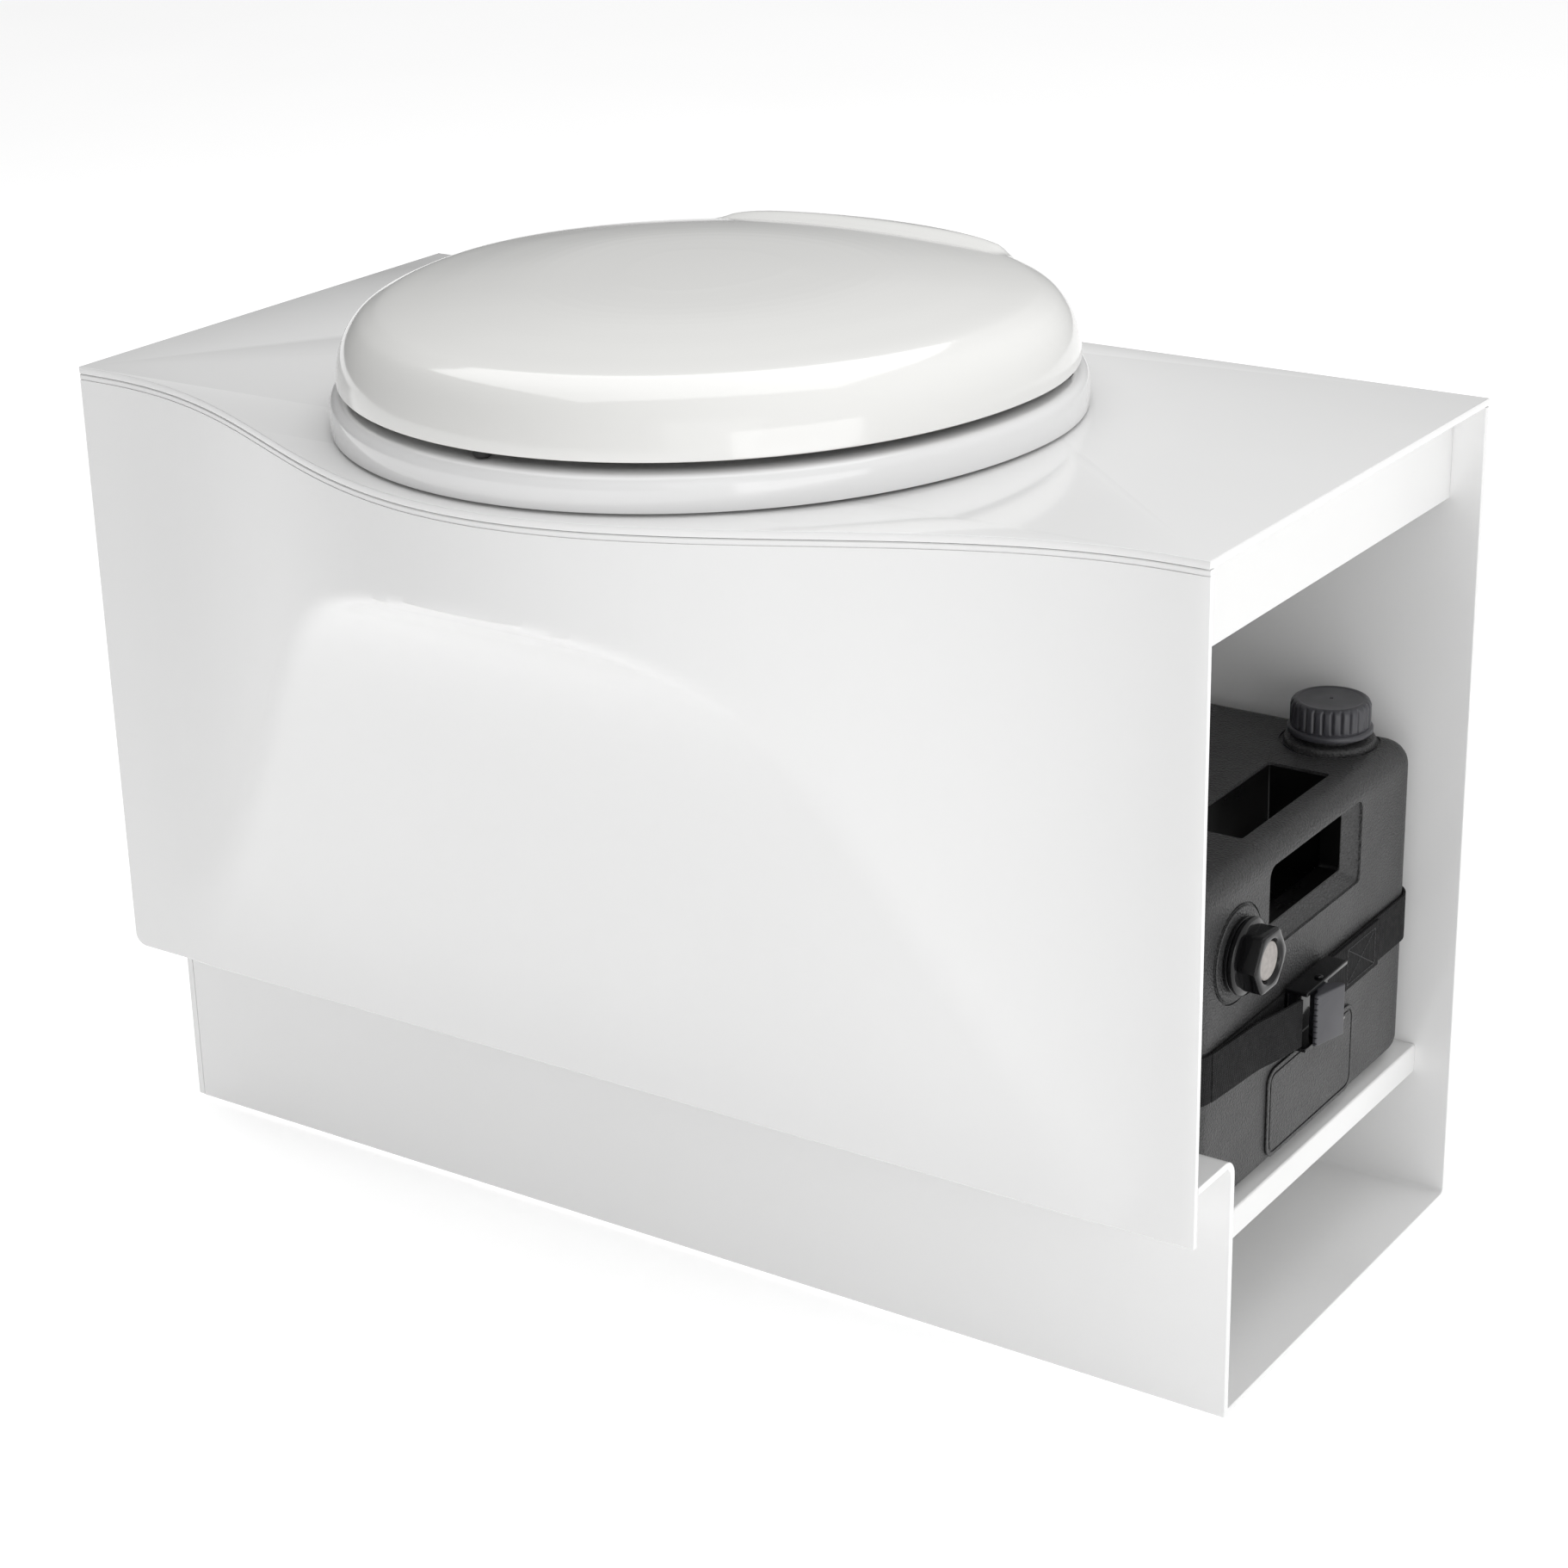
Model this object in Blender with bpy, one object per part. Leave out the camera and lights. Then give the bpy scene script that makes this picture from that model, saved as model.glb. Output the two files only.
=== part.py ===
"""Bench-built cassette toilet: white panel body, seat and lid, and a waste tank that slides out.

Metres, +Z up. +X is the end with the service opening, -Y is the front, and the
origin is on the floor in the middle of the body's length and end depth.
"""

import math

import bmesh
import bpy
from mathutils import Vector
from mathutils.geometry import tessellate_polygon

# Body
LENGTH = 0.6735
DEPTH = 0.3033
TOP = 0.450
SHEET = 0.004
GAP = 0.0003
PLATE_LOW = TOP - SHEET
RIGHT = LENGTH / 2
BACK = DEPTH / 2
PLINTH_FRONT = -0.1135
SHELF_LOW = 0.139
BULGE = 0.1024
BULGE_REACH = 0.321
PANEL_LOW = 0.1121
CREASE = 0.005

# Raised tank floor and header rail
FLOOR_TOP = 0.0888
FLOOR_LIP_LOW = 0.073
FLOOR_END = 0.3165
HEADER_LOW = 0.397
HEADER_X = (0.3160, 0.3200)

# Seat, lid and their hinge
SEAT_CENTRE = -0.034
SEAT_WIDE = 0.1886
SEAT_FRONT = 0.211
SEAT_REAR = 0.178
HOLE_CENTRE = -0.050
HINGE_Y = 0.1205
HINGE_Z = 0.487
PIN_RADIUS = 0.0035
BLOCK_HALF = 0.052
KNUCKLE_END = 0.064
NOTCH_HALF = 0.066
LUG_END = 0.075
NOTCH_FRONT = 0.1100
HINGE = (0, HINGE_Y, HINGE_Z)
PIN_BORE = PIN_RADIUS + 0.0001
STUD_X = (-0.035, 0.035)
STUD_RADIUS = 0.0030
STUD_HOLE = 0.0033
LID_WALL = 0.003
LID_STEPS = (
    (0.0056, 0.4740),
    (0.0044, 0.4752),
    (0.0050, 0.4820),
    (0.0070, 0.4900),
    (0.0105, 0.4970),
    (0.0160, 0.5030),
    (0.0230, 0.5068),
    (0.0300, 0.5090),
    (0.0450, 0.5115),
    (0.0700, 0.5148),
    (0.1050, 0.5178),
    (0.1500, 0.5190),
)

# Bowl
OUTLET = (-0.025, -0.020)
OUTLET_LOW = 0.2635
BOWL_WALL = 0.003

# Waste tank
TANK_X = (-0.195, 0.313)
TANK_Y = (-0.108, 0.140)
TANK_Z = (0.0893, 0.268)
TANK_WALL = 0.004
STEP_X = 0.072
STEP_Z = 0.250
INLET_RADIUS = 0.037
POUR = (0.275, 0.113)
VENT = (-0.065, 0.225)
RECESS_X = (0.261, 0.296)
RECESS_Y = (-0.030, 0.070)
RECESS_LOW = 0.212
GRIP_Y = (-0.030, 0.062)
GRIP_Z = (0.220, 0.252)

# Waste valve: a blade that swings about the shaft under the knob
VALVE_AXIS = (-0.160, 0.100)
BLADE_Z = (0.2548, 0.2588)
HUB_TOP = 0.2740
TONGUE_LOW = 0.2660
BLADE_SWING = 26
BLADE_DISC = 0.0430
BLADE_HUB = 0.0140
PLATE_HOLE = 0.0110

# Strap and buckle
STRAP_Z = (0.158, 0.184)
STRAP_THICK = 0.0016
STRAP_OFF = 0.0005
STRAP_FACE = TANK_X[1] + STRAP_OFF + STRAP_THICK
BUCKLE_Y = (-0.016, 0.030)
BUCKLE_Z = (0.1550, 0.1875)
BUCKLE_PIN = (0.3240, 0.004)
BUCKLE_FRONT = 0.3275


def clear_scene():
    for item in list(bpy.data.objects):
        bpy.data.objects.remove(item, do_unlink=True)


def material(name, colour, roughness, metallic=0.0):
    made = bpy.data.materials.new(name)
    made.use_nodes = True
    shader = made.node_tree.nodes["Principled BSDF"]
    shader.inputs["Base Color"].default_value = (*colour, 1.0)
    shader.inputs["Roughness"].default_value = roughness
    shader.inputs["Metallic"].default_value = metallic
    made.diffuse_color = (*colour, 1.0)
    return made


# Outlines: lists of points in a plane


def circle(centre, radius, count=32):
    turns = (2 * math.pi * i / count for i in range(count))
    return [(centre[0] + radius * math.cos(a), centre[1] + radius * math.sin(a)) for a in turns]


def hexagon(centre, across, per_side=4):
    """A regular hexagon with points along each side, so that it can meet a circle of equal count."""
    corner = across / math.sqrt(3)
    tips = circle(centre, corner, 6)
    points = []
    for i, tip in enumerate(tips):
        after = tips[(i + 1) % 6]
        for k in range(per_side):
            t = k / per_side
            points.append((tip[0] + t * (after[0] - tip[0]), tip[1] + t * (after[1] - tip[1])))
    return points


def egg(centre, wide, front, rear, count=48):
    """A closed oval about centre, reaching front towards -Y and rear towards +Y."""
    points = []
    for i in range(count):
        turn = 2 * math.pi * i / count
        reach = rear if math.sin(turn) > 0 else front
        x = centre[0] + wide * math.cos(turn)
        y = centre[1] + reach * math.sin(turn)
        points.append((x, y))
    return points


def seat_outline(inset, count=48):
    centre = (0, SEAT_CENTRE)
    return egg(centre, SEAT_WIDE - inset, SEAT_FRONT - inset, SEAT_REAR - inset, count)


def rounded_rectangle(xs, ys, radius, steps=4):
    points = []
    corners = ((xs[1], ys[1], 0), (xs[0], ys[1], 90), (xs[0], ys[0], 180), (xs[1], ys[0], 270))
    for x, y, start in corners:
        cx = x - math.copysign(radius, x - sum(xs) / 2)
        cy = y - math.copysign(radius, y - sum(ys) / 2)
        for k in range(steps + 1):
            turn = math.radians(start + 90 * k / steps)
            points.append((cx + radius * math.cos(turn), cy + radius * math.sin(turn)))
    return points


def bulge(x):
    """How far the front edge stands forward of the ends, at x along the length."""
    if abs(x) >= BULGE_REACH:
        return 0.0
    return BULGE / 2 * (1 + math.cos(math.pi * x / BULGE_REACH))


def leg_room(z):
    """How far forward the drawn-in front may stand at height z: a lean under a rounded brow."""
    slope = 0.273 * 0.020 * math.log(1 + math.exp((z - 0.1434) / 0.020))
    brow = 0.033 * math.exp((z - 0.397) / 0.0227)
    return slope + brow


def front_stand(x, z):
    """The front panel's reach: the bulge, cut back for the legs with a rounded crease."""
    a, b = bulge(x), leg_room(z)
    mix = min(1.0, max(0.0, 0.5 + 0.5 * (b - a) / CREASE))
    crease = CREASE * mix * (1 - mix)
    return max(0.0, b + (a - b) * mix - crease)


# Solids


def at_height(outline, z):
    return [(x, y, z) for x, y in outline]


def at_reach(outline, x):
    return [(x, y, z) for y, z in outline]


def loft(loops, ring=False):
    """Skin equal loops of points; a ring joins the last to the first, else both ends are capped."""
    bm = bmesh.new()
    rows = [[bm.verts.new(p) for p in loop] for loop in loops]
    pairs = list(zip(rows, rows[1:]))
    if ring:
        pairs.append((rows[-1], rows[0]))
    for low, high in pairs:
        for i in range(len(low)):
            j = (i + 1) % len(low)
            bm.faces.new((low[i], low[j], high[j], high[i]))
    if not ring:
        bm.faces.new(rows[0])
        bm.faces.new(rows[-1])
    bmesh.ops.recalc_face_normals(bm, faces=bm.faces)
    return bm


def prism(outline, low, high, axis="Z", holes=()):
    """An outline with holes, drawn across axis and carried from low to high along it."""
    place = {
        "X": lambda a, b, h: (h, a, b),
        "Y": lambda a, b, h: (a, h, b),
        "Z": lambda a, b, h: (a, b, h),
    }[axis]
    rings = [outline, *holes]
    points = [p for ring in rings for p in ring]
    bm = bmesh.new()
    ends = [[bm.verts.new(place(*p, h)) for p in points] for h in (low, high)]
    fill = tessellate_polygon([[Vector((*p, 0)) for p in ring] for ring in rings])
    for end in ends:
        for corners in fill:
            bm.faces.new([end[i] for i in corners])
    first = 0
    for ring in rings:
        for i in range(len(ring)):
            a = first + i
            b = first + (i + 1) % len(ring)
            bm.faces.new((ends[0][a], ends[0][b], ends[1][b], ends[1][a]))
        first += len(ring)
    bmesh.ops.recalc_face_normals(bm, faces=bm.faces)
    return bm


def block(xs, ys, zs):
    return prism([(xs[0], ys[0]), (xs[1], ys[0]), (xs[1], ys[1]), (xs[0], ys[1])], *zs)


def tube(centre, inner, outer, low, high, axis="Z", count=32):
    return prism(circle(centre, outer, count), low, high, axis, [circle(centre, inner, count)])


def rod(centre, radius, low, high, axis="Z", count=24):
    return prism(circle(centre, radius, count), low, high, axis)


def turned(centre, profile, count=24, ring=False):
    """A solid turned about a vertical axis, from pairs of radius and height."""
    return loft([at_height(circle(centre, radius, count), z) for radius, z in profile], ring)


def piece(name, bm, look, pivot=(0, 0, 0), smooth=True):
    """Make a named object from a mesh drawn in place, with its origin moved to pivot."""
    bmesh.ops.translate(bm, verts=bm.verts, vec=-Vector(pivot))
    mesh = bpy.data.meshes.new(name)
    bm.to_mesh(mesh)
    bm.free()
    mesh.materials.append(look)
    if smooth:
        mesh.shade_smooth()
        mesh.set_sharp_from_angle(angle=math.radians(35))
    made = bpy.data.objects.new(name, mesh)
    made.location = pivot
    bpy.context.scene.collection.objects.link(made)
    return made


def cutter(name, bm):
    made = piece(name, bm, LOOKS["guide"], smooth=False)
    made.hide_render = True
    made.display_type = "WIRE"
    return made


def combine(target, other, how):
    step = target.modifiers.new(f"{how.lower()}_{other.name}", "BOOLEAN")
    step.operation = how
    step.object = other
    step.solver = "EXACT"


def cut(target, *others):
    for other in others:
        combine(target, other, "DIFFERENCE")


def join(target, *others):
    for other in others:
        combine(target, other, "UNION")


LOOKS = {}


def make_looks():
    LOOKS["white_panel"] = material("white_panel", (0.86, 0.86, 0.86), 0.28)
    LOOKS["white_seat"] = material("white_seat", (0.90, 0.90, 0.90), 0.14)
    LOOKS["cream_lid"] = material("cream_lid", (0.89, 0.88, 0.85), 0.12)
    LOOKS["bowl_white"] = material("bowl_white", (0.88, 0.88, 0.88), 0.12)
    LOOKS["grained_black"] = material("grained_black", (0.035, 0.035, 0.036), 0.60)
    LOOKS["gloss_black"] = material("gloss_black", (0.015, 0.015, 0.016), 0.18)
    LOOKS["cap_grey"] = material("cap_grey", (0.075, 0.075, 0.085), 0.42)
    LOOKS["rubber_black"] = material("rubber_black", (0.03, 0.03, 0.03), 0.75)
    LOOKS["webbing"] = material("webbing", (0.018, 0.018, 0.018), 0.90)
    LOOKS["filter_grey"] = material("filter_grey", (0.42, 0.40, 0.38), 0.70)
    LOOKS["steel"] = material("steel", (0.55, 0.55, 0.56), 0.30, 1.0)
    LOOKS["guide"] = material("guide", (0.8, 0.2, 0.1), 0.5)


# Body panels


def top_plate():
    count = 48
    xs = [-RIGHT + LENGTH * i / count for i in range(count + 1)]
    front = [(x, -BACK - bulge(x)) for x in xs]
    outline = [*front, (RIGHT, BACK), (-RIGHT, BACK)]
    holes = [
        egg((0, HOLE_CENTRE), 0.1255, 0.1475, 0.1475),
        circle(VALVE_AXIS, PLATE_HOLE, 24),
        *(circle((x, HINGE_Y), STUD_HOLE, 12) for x in STUD_X),
    ]
    piece("top_plate", prism(outline, PLATE_LOW, TOP, holes=holes), LOOKS["white_panel"])


def front_panel():
    columns, rows = 72, 28
    high = PLATE_LOW - GAP
    heights = [PANEL_LOW + (high - PANEL_LOW) * k / rows for k in range(rows + 1)]
    loops = []
    for i in range(columns + 1):
        x = -RIGHT + LENGTH * i / columns
        face = [(x, -BACK - front_stand(x, z), z) for z in heights]
        inside = [(x, y + SHEET, z) for x, y, z in reversed(face)]
        loops.append(face + inside)
    piece("front_panel", loft(loops), LOOKS["white_panel"])


def base_shell():
    """One bent sheet: shelf behind the front panel, plinth wall, floor plate and back wall."""
    bend = 0.006
    shelf_front = -BACK + SHEET + GAP
    under = [(shelf_front, SHELF_LOW)]
    over = [(shelf_front, SHELF_LOW + SHEET)]
    cy, cz = PLINTH_FRONT - bend, SHELF_LOW - bend
    wide = bend + SHEET
    for k in range(5):
        turn = math.radians(90 * k / 4)
        under.append((cy + bend * math.sin(turn), cz + bend * math.cos(turn)))
        over.append((cy + wide * math.sin(turn), cz + wide * math.cos(turn)))
    high = PLATE_LOW - GAP
    outside = [*under, (PLINTH_FRONT, 0), (BACK, 0), (BACK, high)]
    inside = [*over, (PLINTH_FRONT + SHEET, SHEET), (BACK - SHEET, SHEET), (BACK - SHEET, high)]
    sheet = prism(outside + inside[::-1], -RIGHT + SHEET + GAP, RIGHT, "X")
    piece("base_shell", sheet, LOOKS["white_panel"])


def left_side_panel():
    front = -BACK + SHEET + GAP
    high = PLATE_LOW - GAP
    outline = [
        (front, high),
        (front, SHELF_LOW),
        (PLINTH_FRONT, SHELF_LOW),
        (PLINTH_FRONT, 0),
        (BACK, 0),
        (BACK, high),
    ]
    piece("left_side_panel", prism(outline, -RIGHT, -RIGHT + SHEET, "X"), LOOKS["white_panel"])


def tank_floor():
    left = -RIGHT + SHEET + 2 * GAP
    low = FLOOR_TOP - SHEET
    profile = [
        (left, low),
        (FLOOR_END - SHEET, low),
        (FLOOR_END - SHEET, FLOOR_LIP_LOW),
        (FLOOR_END, FLOOR_LIP_LOW),
        (FLOOR_END, FLOOR_TOP),
        (left, FLOOR_TOP),
    ]
    front = PLINTH_FRONT + SHEET + GAP
    shape = prism(profile, front, BACK - SHEET - GAP, "Y")
    piece("tank_floor", shape, LOOKS["white_panel"])


def header_rail():
    ys = (-BACK + SHEET + GAP, BACK - SHEET - GAP)
    shape = block(HEADER_X, ys, (HEADER_LOW, PLATE_LOW - GAP))
    piece("header_rail", shape, LOOKS["white_panel"])


# Bowl


def bowl_loop(z, blend, grow=0.0):
    """The bowl's outline at one height: the seat opening blended into the round outlet."""
    rim = egg((0, HOLE_CENTRE), 0.121 + grow, 0.143 + grow, 0.143 + grow)
    outlet = circle(OUTLET, 0.038 + grow, 48)
    loop = []
    for a, b in zip(rim, outlet):
        loop.append((a[0] + blend * (b[0] - a[0]), a[1] + blend * (b[1] - a[1]), z))
    return loop


def bowl():
    rim = TOP + 0.0046
    levels = [(rim, 0.0), (0.430, 0.03), (0.395, 0.12), (0.355, 0.28), (0.320, 0.50), (0.295, 0.76)]
    levels += [(0.282, 1.0), (OUTLET_LOW, 1.0)]
    inside = [bowl_loop(z, blend) for z, blend in levels]
    outside = [bowl_loop(z - BOWL_WALL / 2, blend, BOWL_WALL) for z, blend in levels[1:-1]]
    outside = [*outside, bowl_loop(OUTLET_LOW, 1.0, BOWL_WALL)]
    flange = [
        bowl_loop(TOP + 0.0016, 0.0, BOWL_WALL),
        bowl_loop(TOP + 0.0016, 0.0, 0.013),
        bowl_loop(rim, 0.0, 0.013),
    ]
    piece("bowl", loft([*inside, *outside[::-1], *flange], ring=True), LOOKS["bowl_white"])


def bowl_seals():
    low, high = TOP + GAP, TOP + 0.0013
    outer = egg((0, HOLE_CENTRE), 0.133, 0.155, 0.155)
    inner = egg((0, HOLE_CENTRE), 0.127, 0.149, 0.149)
    piece("bowl_rim_seal", prism(outer, low, high, holes=[inner]), LOOKS["rubber_black"])
    outlet = tube(OUTLET, 0.0413, 0.0455, OUTLET_LOW, OUTLET_LOW + 0.006, count=48)
    piece("bowl_outlet_seal", outlet, LOOKS["rubber_black"])


# Seat, lid and hinge


def hinge_block():
    barrel = 0.0095
    foot = (HINGE_Y - 0.0090, HINGE_Y + 0.0070)
    outline = [(foot[1], TOP + GAP), (foot[1], HINGE_Z - 0.0100)]
    for k in range(13):
        turn = math.radians(200 * k / 12)
        outline.append((HINGE_Y + barrel * math.cos(turn), HINGE_Z + barrel * math.sin(turn)))
    outline += [(foot[0], TOP + GAP)]
    bore = circle((HINGE_Y, HINGE_Z), PIN_BORE, 24)
    shape = prism(outline, -BLOCK_HALF, BLOCK_HALF, "X", [bore])
    made = piece("hinge_block", shape, LOOKS["white_seat"])
    for side, x in zip(("left", "right"), STUD_X):
        hole = rod((x, HINGE_Y), STUD_HOLE, TOP - 0.01, 0.4705)
        cut(made, cutter(f"cut_stud_{side}", hole))


def wing_nut_outline(x, reach=0.016, half=0.002):
    hub = circle((x, HINGE_Y), 0.0065, 16)
    left = [(x - reach, HINGE_Y + half), (x - reach, HINGE_Y - half)]
    right = [(x + reach, HINGE_Y - half), (x + reach, HINGE_Y + half)]
    return [*left, *hub[9:16], *right, *hub[1:8]]


def hinge_fixings():
    reach = LUG_END - GAP
    pin = rod((HINGE_Y, HINGE_Z), PIN_RADIUS, -reach, reach, "X")
    piece("hinge_pin", pin, LOOKS["steel"])
    for side, x in zip(("left", "right"), STUD_X):
        stud = rod((x, HINGE_Y), STUD_RADIUS, 0.4280, 0.4700, count=16)
        piece(f"hinge_stud_{side}", stud, LOOKS["steel"])
        hole = circle((x, HINGE_Y), STUD_HOLE, 16)
        nut = prism(wing_nut_outline(x), 0.4350, PLATE_LOW - GAP, holes=[hole])
        piece(f"wing_nut_{side}", nut, LOOKS["grained_black"])


def seat_bottom(point, low):
    """The underside, relieved behind the hinge so that it clears the plate as the seat opens."""
    x, y = point
    return (x, y, low + max(0.0, y - 0.114) * 0.2)


def knuckle_outline(radius=0.009):
    """A stem from the seat up to the pin, rounded over the top."""
    outline = [(HINGE_Y - radius, 0.460), (HINGE_Y + radius, 0.460)]
    for k in range(13):
        turn = math.pi * k / 12
        outline.append((HINGE_Y + radius * math.cos(turn), HINGE_Z + radius * math.sin(turn)))
    return outline


def seat_ring():
    hole = (0, HOLE_CENTRE)
    inner_low = egg(hole, 0.113, 0.136, 0.136)
    inner = egg(hole, 0.112, 0.135, 0.135)
    inner_round = egg(hole, 0.114, 0.137, 0.137)
    inner_top = egg(hole, 0.121, 0.144, 0.144)
    loops = [
        [seat_bottom(p, 0.4513) for p in seat_outline(0.009)],
        [seat_bottom(p, 0.4513) for p in seat_outline(0.0008)],
        [seat_bottom(p, 0.4522) for p in seat_outline(0.0)],
        at_height(seat_outline(0.0), 0.4625),
        at_height(seat_outline(0.0015), 0.4665),
        at_height(seat_outline(0.0050), 0.4688),
        at_height(seat_outline(0.0120), 0.4695),
        at_height(inner_top, 0.4680),
        at_height(inner_round, 0.4652),
        at_height(inner, 0.4610),
        at_height(inner_low, 0.4570),
        [seat_bottom(p, 0.4570) for p in seat_outline(0.010)],
    ]
    made = piece("seat_ring", loft(loops, ring=True), LOOKS["white_seat"], HINGE)
    notch = block((-BLOCK_HALF - 0.001, BLOCK_HALF + 0.001), (NOTCH_FRONT, 0.16), (0.44, 0.50))
    cut(made, cutter("cut_seat_notch", notch))
    for side, sign in (("left", -1), ("right", 1)):
        xs = sorted((sign * (BLOCK_HALF + 0.001), sign * KNUCKLE_END))
        join(made, cutter(f"add_knuckle_{side}", prism(knuckle_outline(), *xs, "X")))
    bore = rod((HINGE_Y, HINGE_Z), PIN_BORE, -0.1, 0.1, "X")
    cut(made, cutter("cut_seat_bore", bore))


def bumper(name, centre, radius, low, high):
    profile = [(radius - 0.001, low), (radius, low + 0.001), (radius, high)]
    piece(name, turned(centre, profile, 20), LOOKS["rubber_black"], HINGE)


def bumpers():
    places = {"front_left": (-0.150, -0.090), "front_right": (0.150, -0.090)}
    places |= {"rear_left": (-0.150, 0.020), "rear_right": (0.150, 0.020)}
    for side, centre in places.items():
        bumper(f"seat_bumper_{side}", centre, 0.006, TOP + GAP, 0.4567)
    lid_places = {"front": (0.004, -0.2335), "left": (-0.168, 0.020), "right": (0.168, 0.020)}
    for side, centre in lid_places.items():
        bumper(f"lid_bumper_{side}", centre, 0.0045, 0.4700, 0.4737)


def lid_shell():
    """A hollow form, kept solid about the rear notch and the two hinge lugs."""
    outer = [at_height(seat_outline(inset), z) for inset, z in LID_STEPS]
    made = piece("lid_shell", loft(outer), LOOKS["cream_lid"], HINGE)
    inner = [at_height(seat_outline(LID_STEPS[0][0] + LID_WALL), 0.470)]
    for inset, z in LID_STEPS[2:6]:
        inner.append(at_height(seat_outline(inset + LID_WALL), z - 0.001))
    for inset, z in LID_STEPS[6:]:
        inner.append(at_height(seat_outline(inset + LID_WALL), z - LID_WALL))
    hollow = cutter("cut_lid_hollow", loft(inner))
    keep = block((-LUG_END - 0.003, LUG_END + 0.003), (NOTCH_FRONT - LID_WALL, 0.16), (0.46, 0.53))
    cut(hollow, cutter("keep_lid_lugs", keep))
    notch = block((-NOTCH_HALF, NOTCH_HALF), (NOTCH_FRONT, 0.16), (0.46, 0.53))
    bore = rod((HINGE_Y, HINGE_Z), PIN_BORE, -LUG_END, LUG_END, "X")
    cut(made, hollow, cutter("cut_lid_notch", notch), cutter("cut_lid_bore", bore))


# Waste tank


def tank_levels(grow=0.0, edge=0.011):
    """Heights and insets of a box with rounded top and bottom edges."""
    low, high = TANK_Z[0] - grow, TANK_Z[1] + grow
    turns = [math.radians(30 * k) for k in range(4)]
    bottom = [(low + edge * (1 - math.sin(t)), edge * (1 - math.cos(t))) for t in turns]
    top = [(high - edge * (1 - math.sin(t)), edge * (1 - math.cos(t))) for t in turns]
    return bottom[::-1] + top


def tank_block(grow=0.0):
    loops = []
    for z, inset in tank_levels(grow):
        inset -= grow
        xs = (TANK_X[0] + inset, TANK_X[1] - inset)
        ys = (TANK_Y[0] + inset, TANK_Y[1] - inset)
        loops.append(at_height(rounded_rectangle(xs, ys, 0.0155 - inset), z))
    return loft(loops)


def tank_hollow():
    """The space inside: stepped down under the valve and kept away from the handle recess."""
    hollow = cutter("cut_tank_hollow", tank_block(-TANK_WALL))
    under_step = block((-0.25, STEP_X + TANK_WALL), (-0.2, 0.2), (STEP_Z - TANK_WALL, 0.3))
    xs = (RECESS_X[0] - TANK_WALL, 0.33)
    ys = (RECESS_Y[0] - TANK_WALL, RECESS_Y[1] + TANK_WALL)
    beside_recess = block(xs, ys, (RECESS_LOW - TANK_WALL, 0.3))
    cut(hollow, cutter("keep_step", under_step), cutter("keep_recess", beside_recess))
    return hollow


def tank_shell():
    made = piece("tank_shell", tank_block(), LOOKS["grained_black"])
    boss = [(0.0235, 0.2620), (0.0235, 0.2700), (0.0225, 0.2712)]
    boss += [(0.0165, 0.2712), (0.0165, 0.2840)]
    join(made, cutter("add_pour_boss", turned(POUR, boss, 32)))
    join(made, cutter("add_vent_boss", rod(VENT, 0.0240, 0.306, 0.3143, "X", 32)))
    cut(made, cutter("cut_step", block((-0.25, STEP_X), (-0.2, 0.2), (STEP_Z, 0.3))))
    cut(made, tank_hollow())
    cut(made, cutter("cut_inlet", rod(OUTLET, INLET_RADIUS, 0.240, 0.256, count=40)))
    cut(made, cutter("cut_pour", rod(POUR, 0.0140, 0.255, 0.290)))
    cut(made, cutter("cut_vent", rod(VENT, 0.0147, 0.300, 0.320, "X")))
    cut(made, cutter("cut_recess", block(RECESS_X, RECESS_Y, (RECESS_LOW, 0.280))))
    grip = rounded_rectangle(GRIP_Y, GRIP_Z, 0.004)
    cut(made, cutter("cut_grip", prism(grip, RECESS_X[0] + 0.003, 0.330, "X")))


def tank_fittings():
    seal = tube(OUTLET, 0.0380, 0.0430, STEP_Z + GAP, BLADE_Z[0] - GAP, count=40)
    piece("inlet_seal", seal, LOOKS["rubber_black"])
    badge = rounded_rectangle((-0.029, 0.070), (0.097, 0.146), 0.008)
    piece("badge_panel", prism(badge, TANK_X[1] + GAP, TANK_X[1] + 0.0013, "X"), LOOKS["cap_grey"])


def polar(reach, turn):
    """A point at reach from the valve's axis, in plan."""
    return (VALVE_AXIS[0] + reach * math.cos(turn), VALVE_AXIS[1] + reach * math.sin(turn))


def swept_outline(grow):
    """The outline of the blade's whole sweep about its pivot, grown by a margin."""
    reach = math.dist(VALVE_AXIS, OUTLET)
    first = math.atan2(OUTLET[1] - VALVE_AXIS[1], OUTLET[0] - VALVE_AXIS[0])
    last = first + math.radians(BLADE_SWING)
    disc = BLADE_DISC + grow
    hub = BLADE_HUB + grow
    points = []
    for k in range(9):
        turn = first - math.radians(100) + math.radians(100) * k / 8
        centre = polar(reach, first)
        points.append((centre[0] + disc * math.cos(turn), centre[1] + disc * math.sin(turn)))
    for k in range(1, 6):
        turn = first + (last - first) * k / 6
        points.append(polar(reach + disc, turn))
    for k in range(9):
        turn = last + math.radians(100) * k / 8
        centre = polar(reach, last)
        points.append((centre[0] + disc * math.cos(turn), centre[1] + disc * math.sin(turn)))
    for k in range(7):
        turn = last + math.radians(100) + math.radians(133) * k / 6
        points.append((VALVE_AXIS[0] + hub * math.cos(turn), VALVE_AXIS[1] + hub * math.sin(turn)))
    return points


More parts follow.
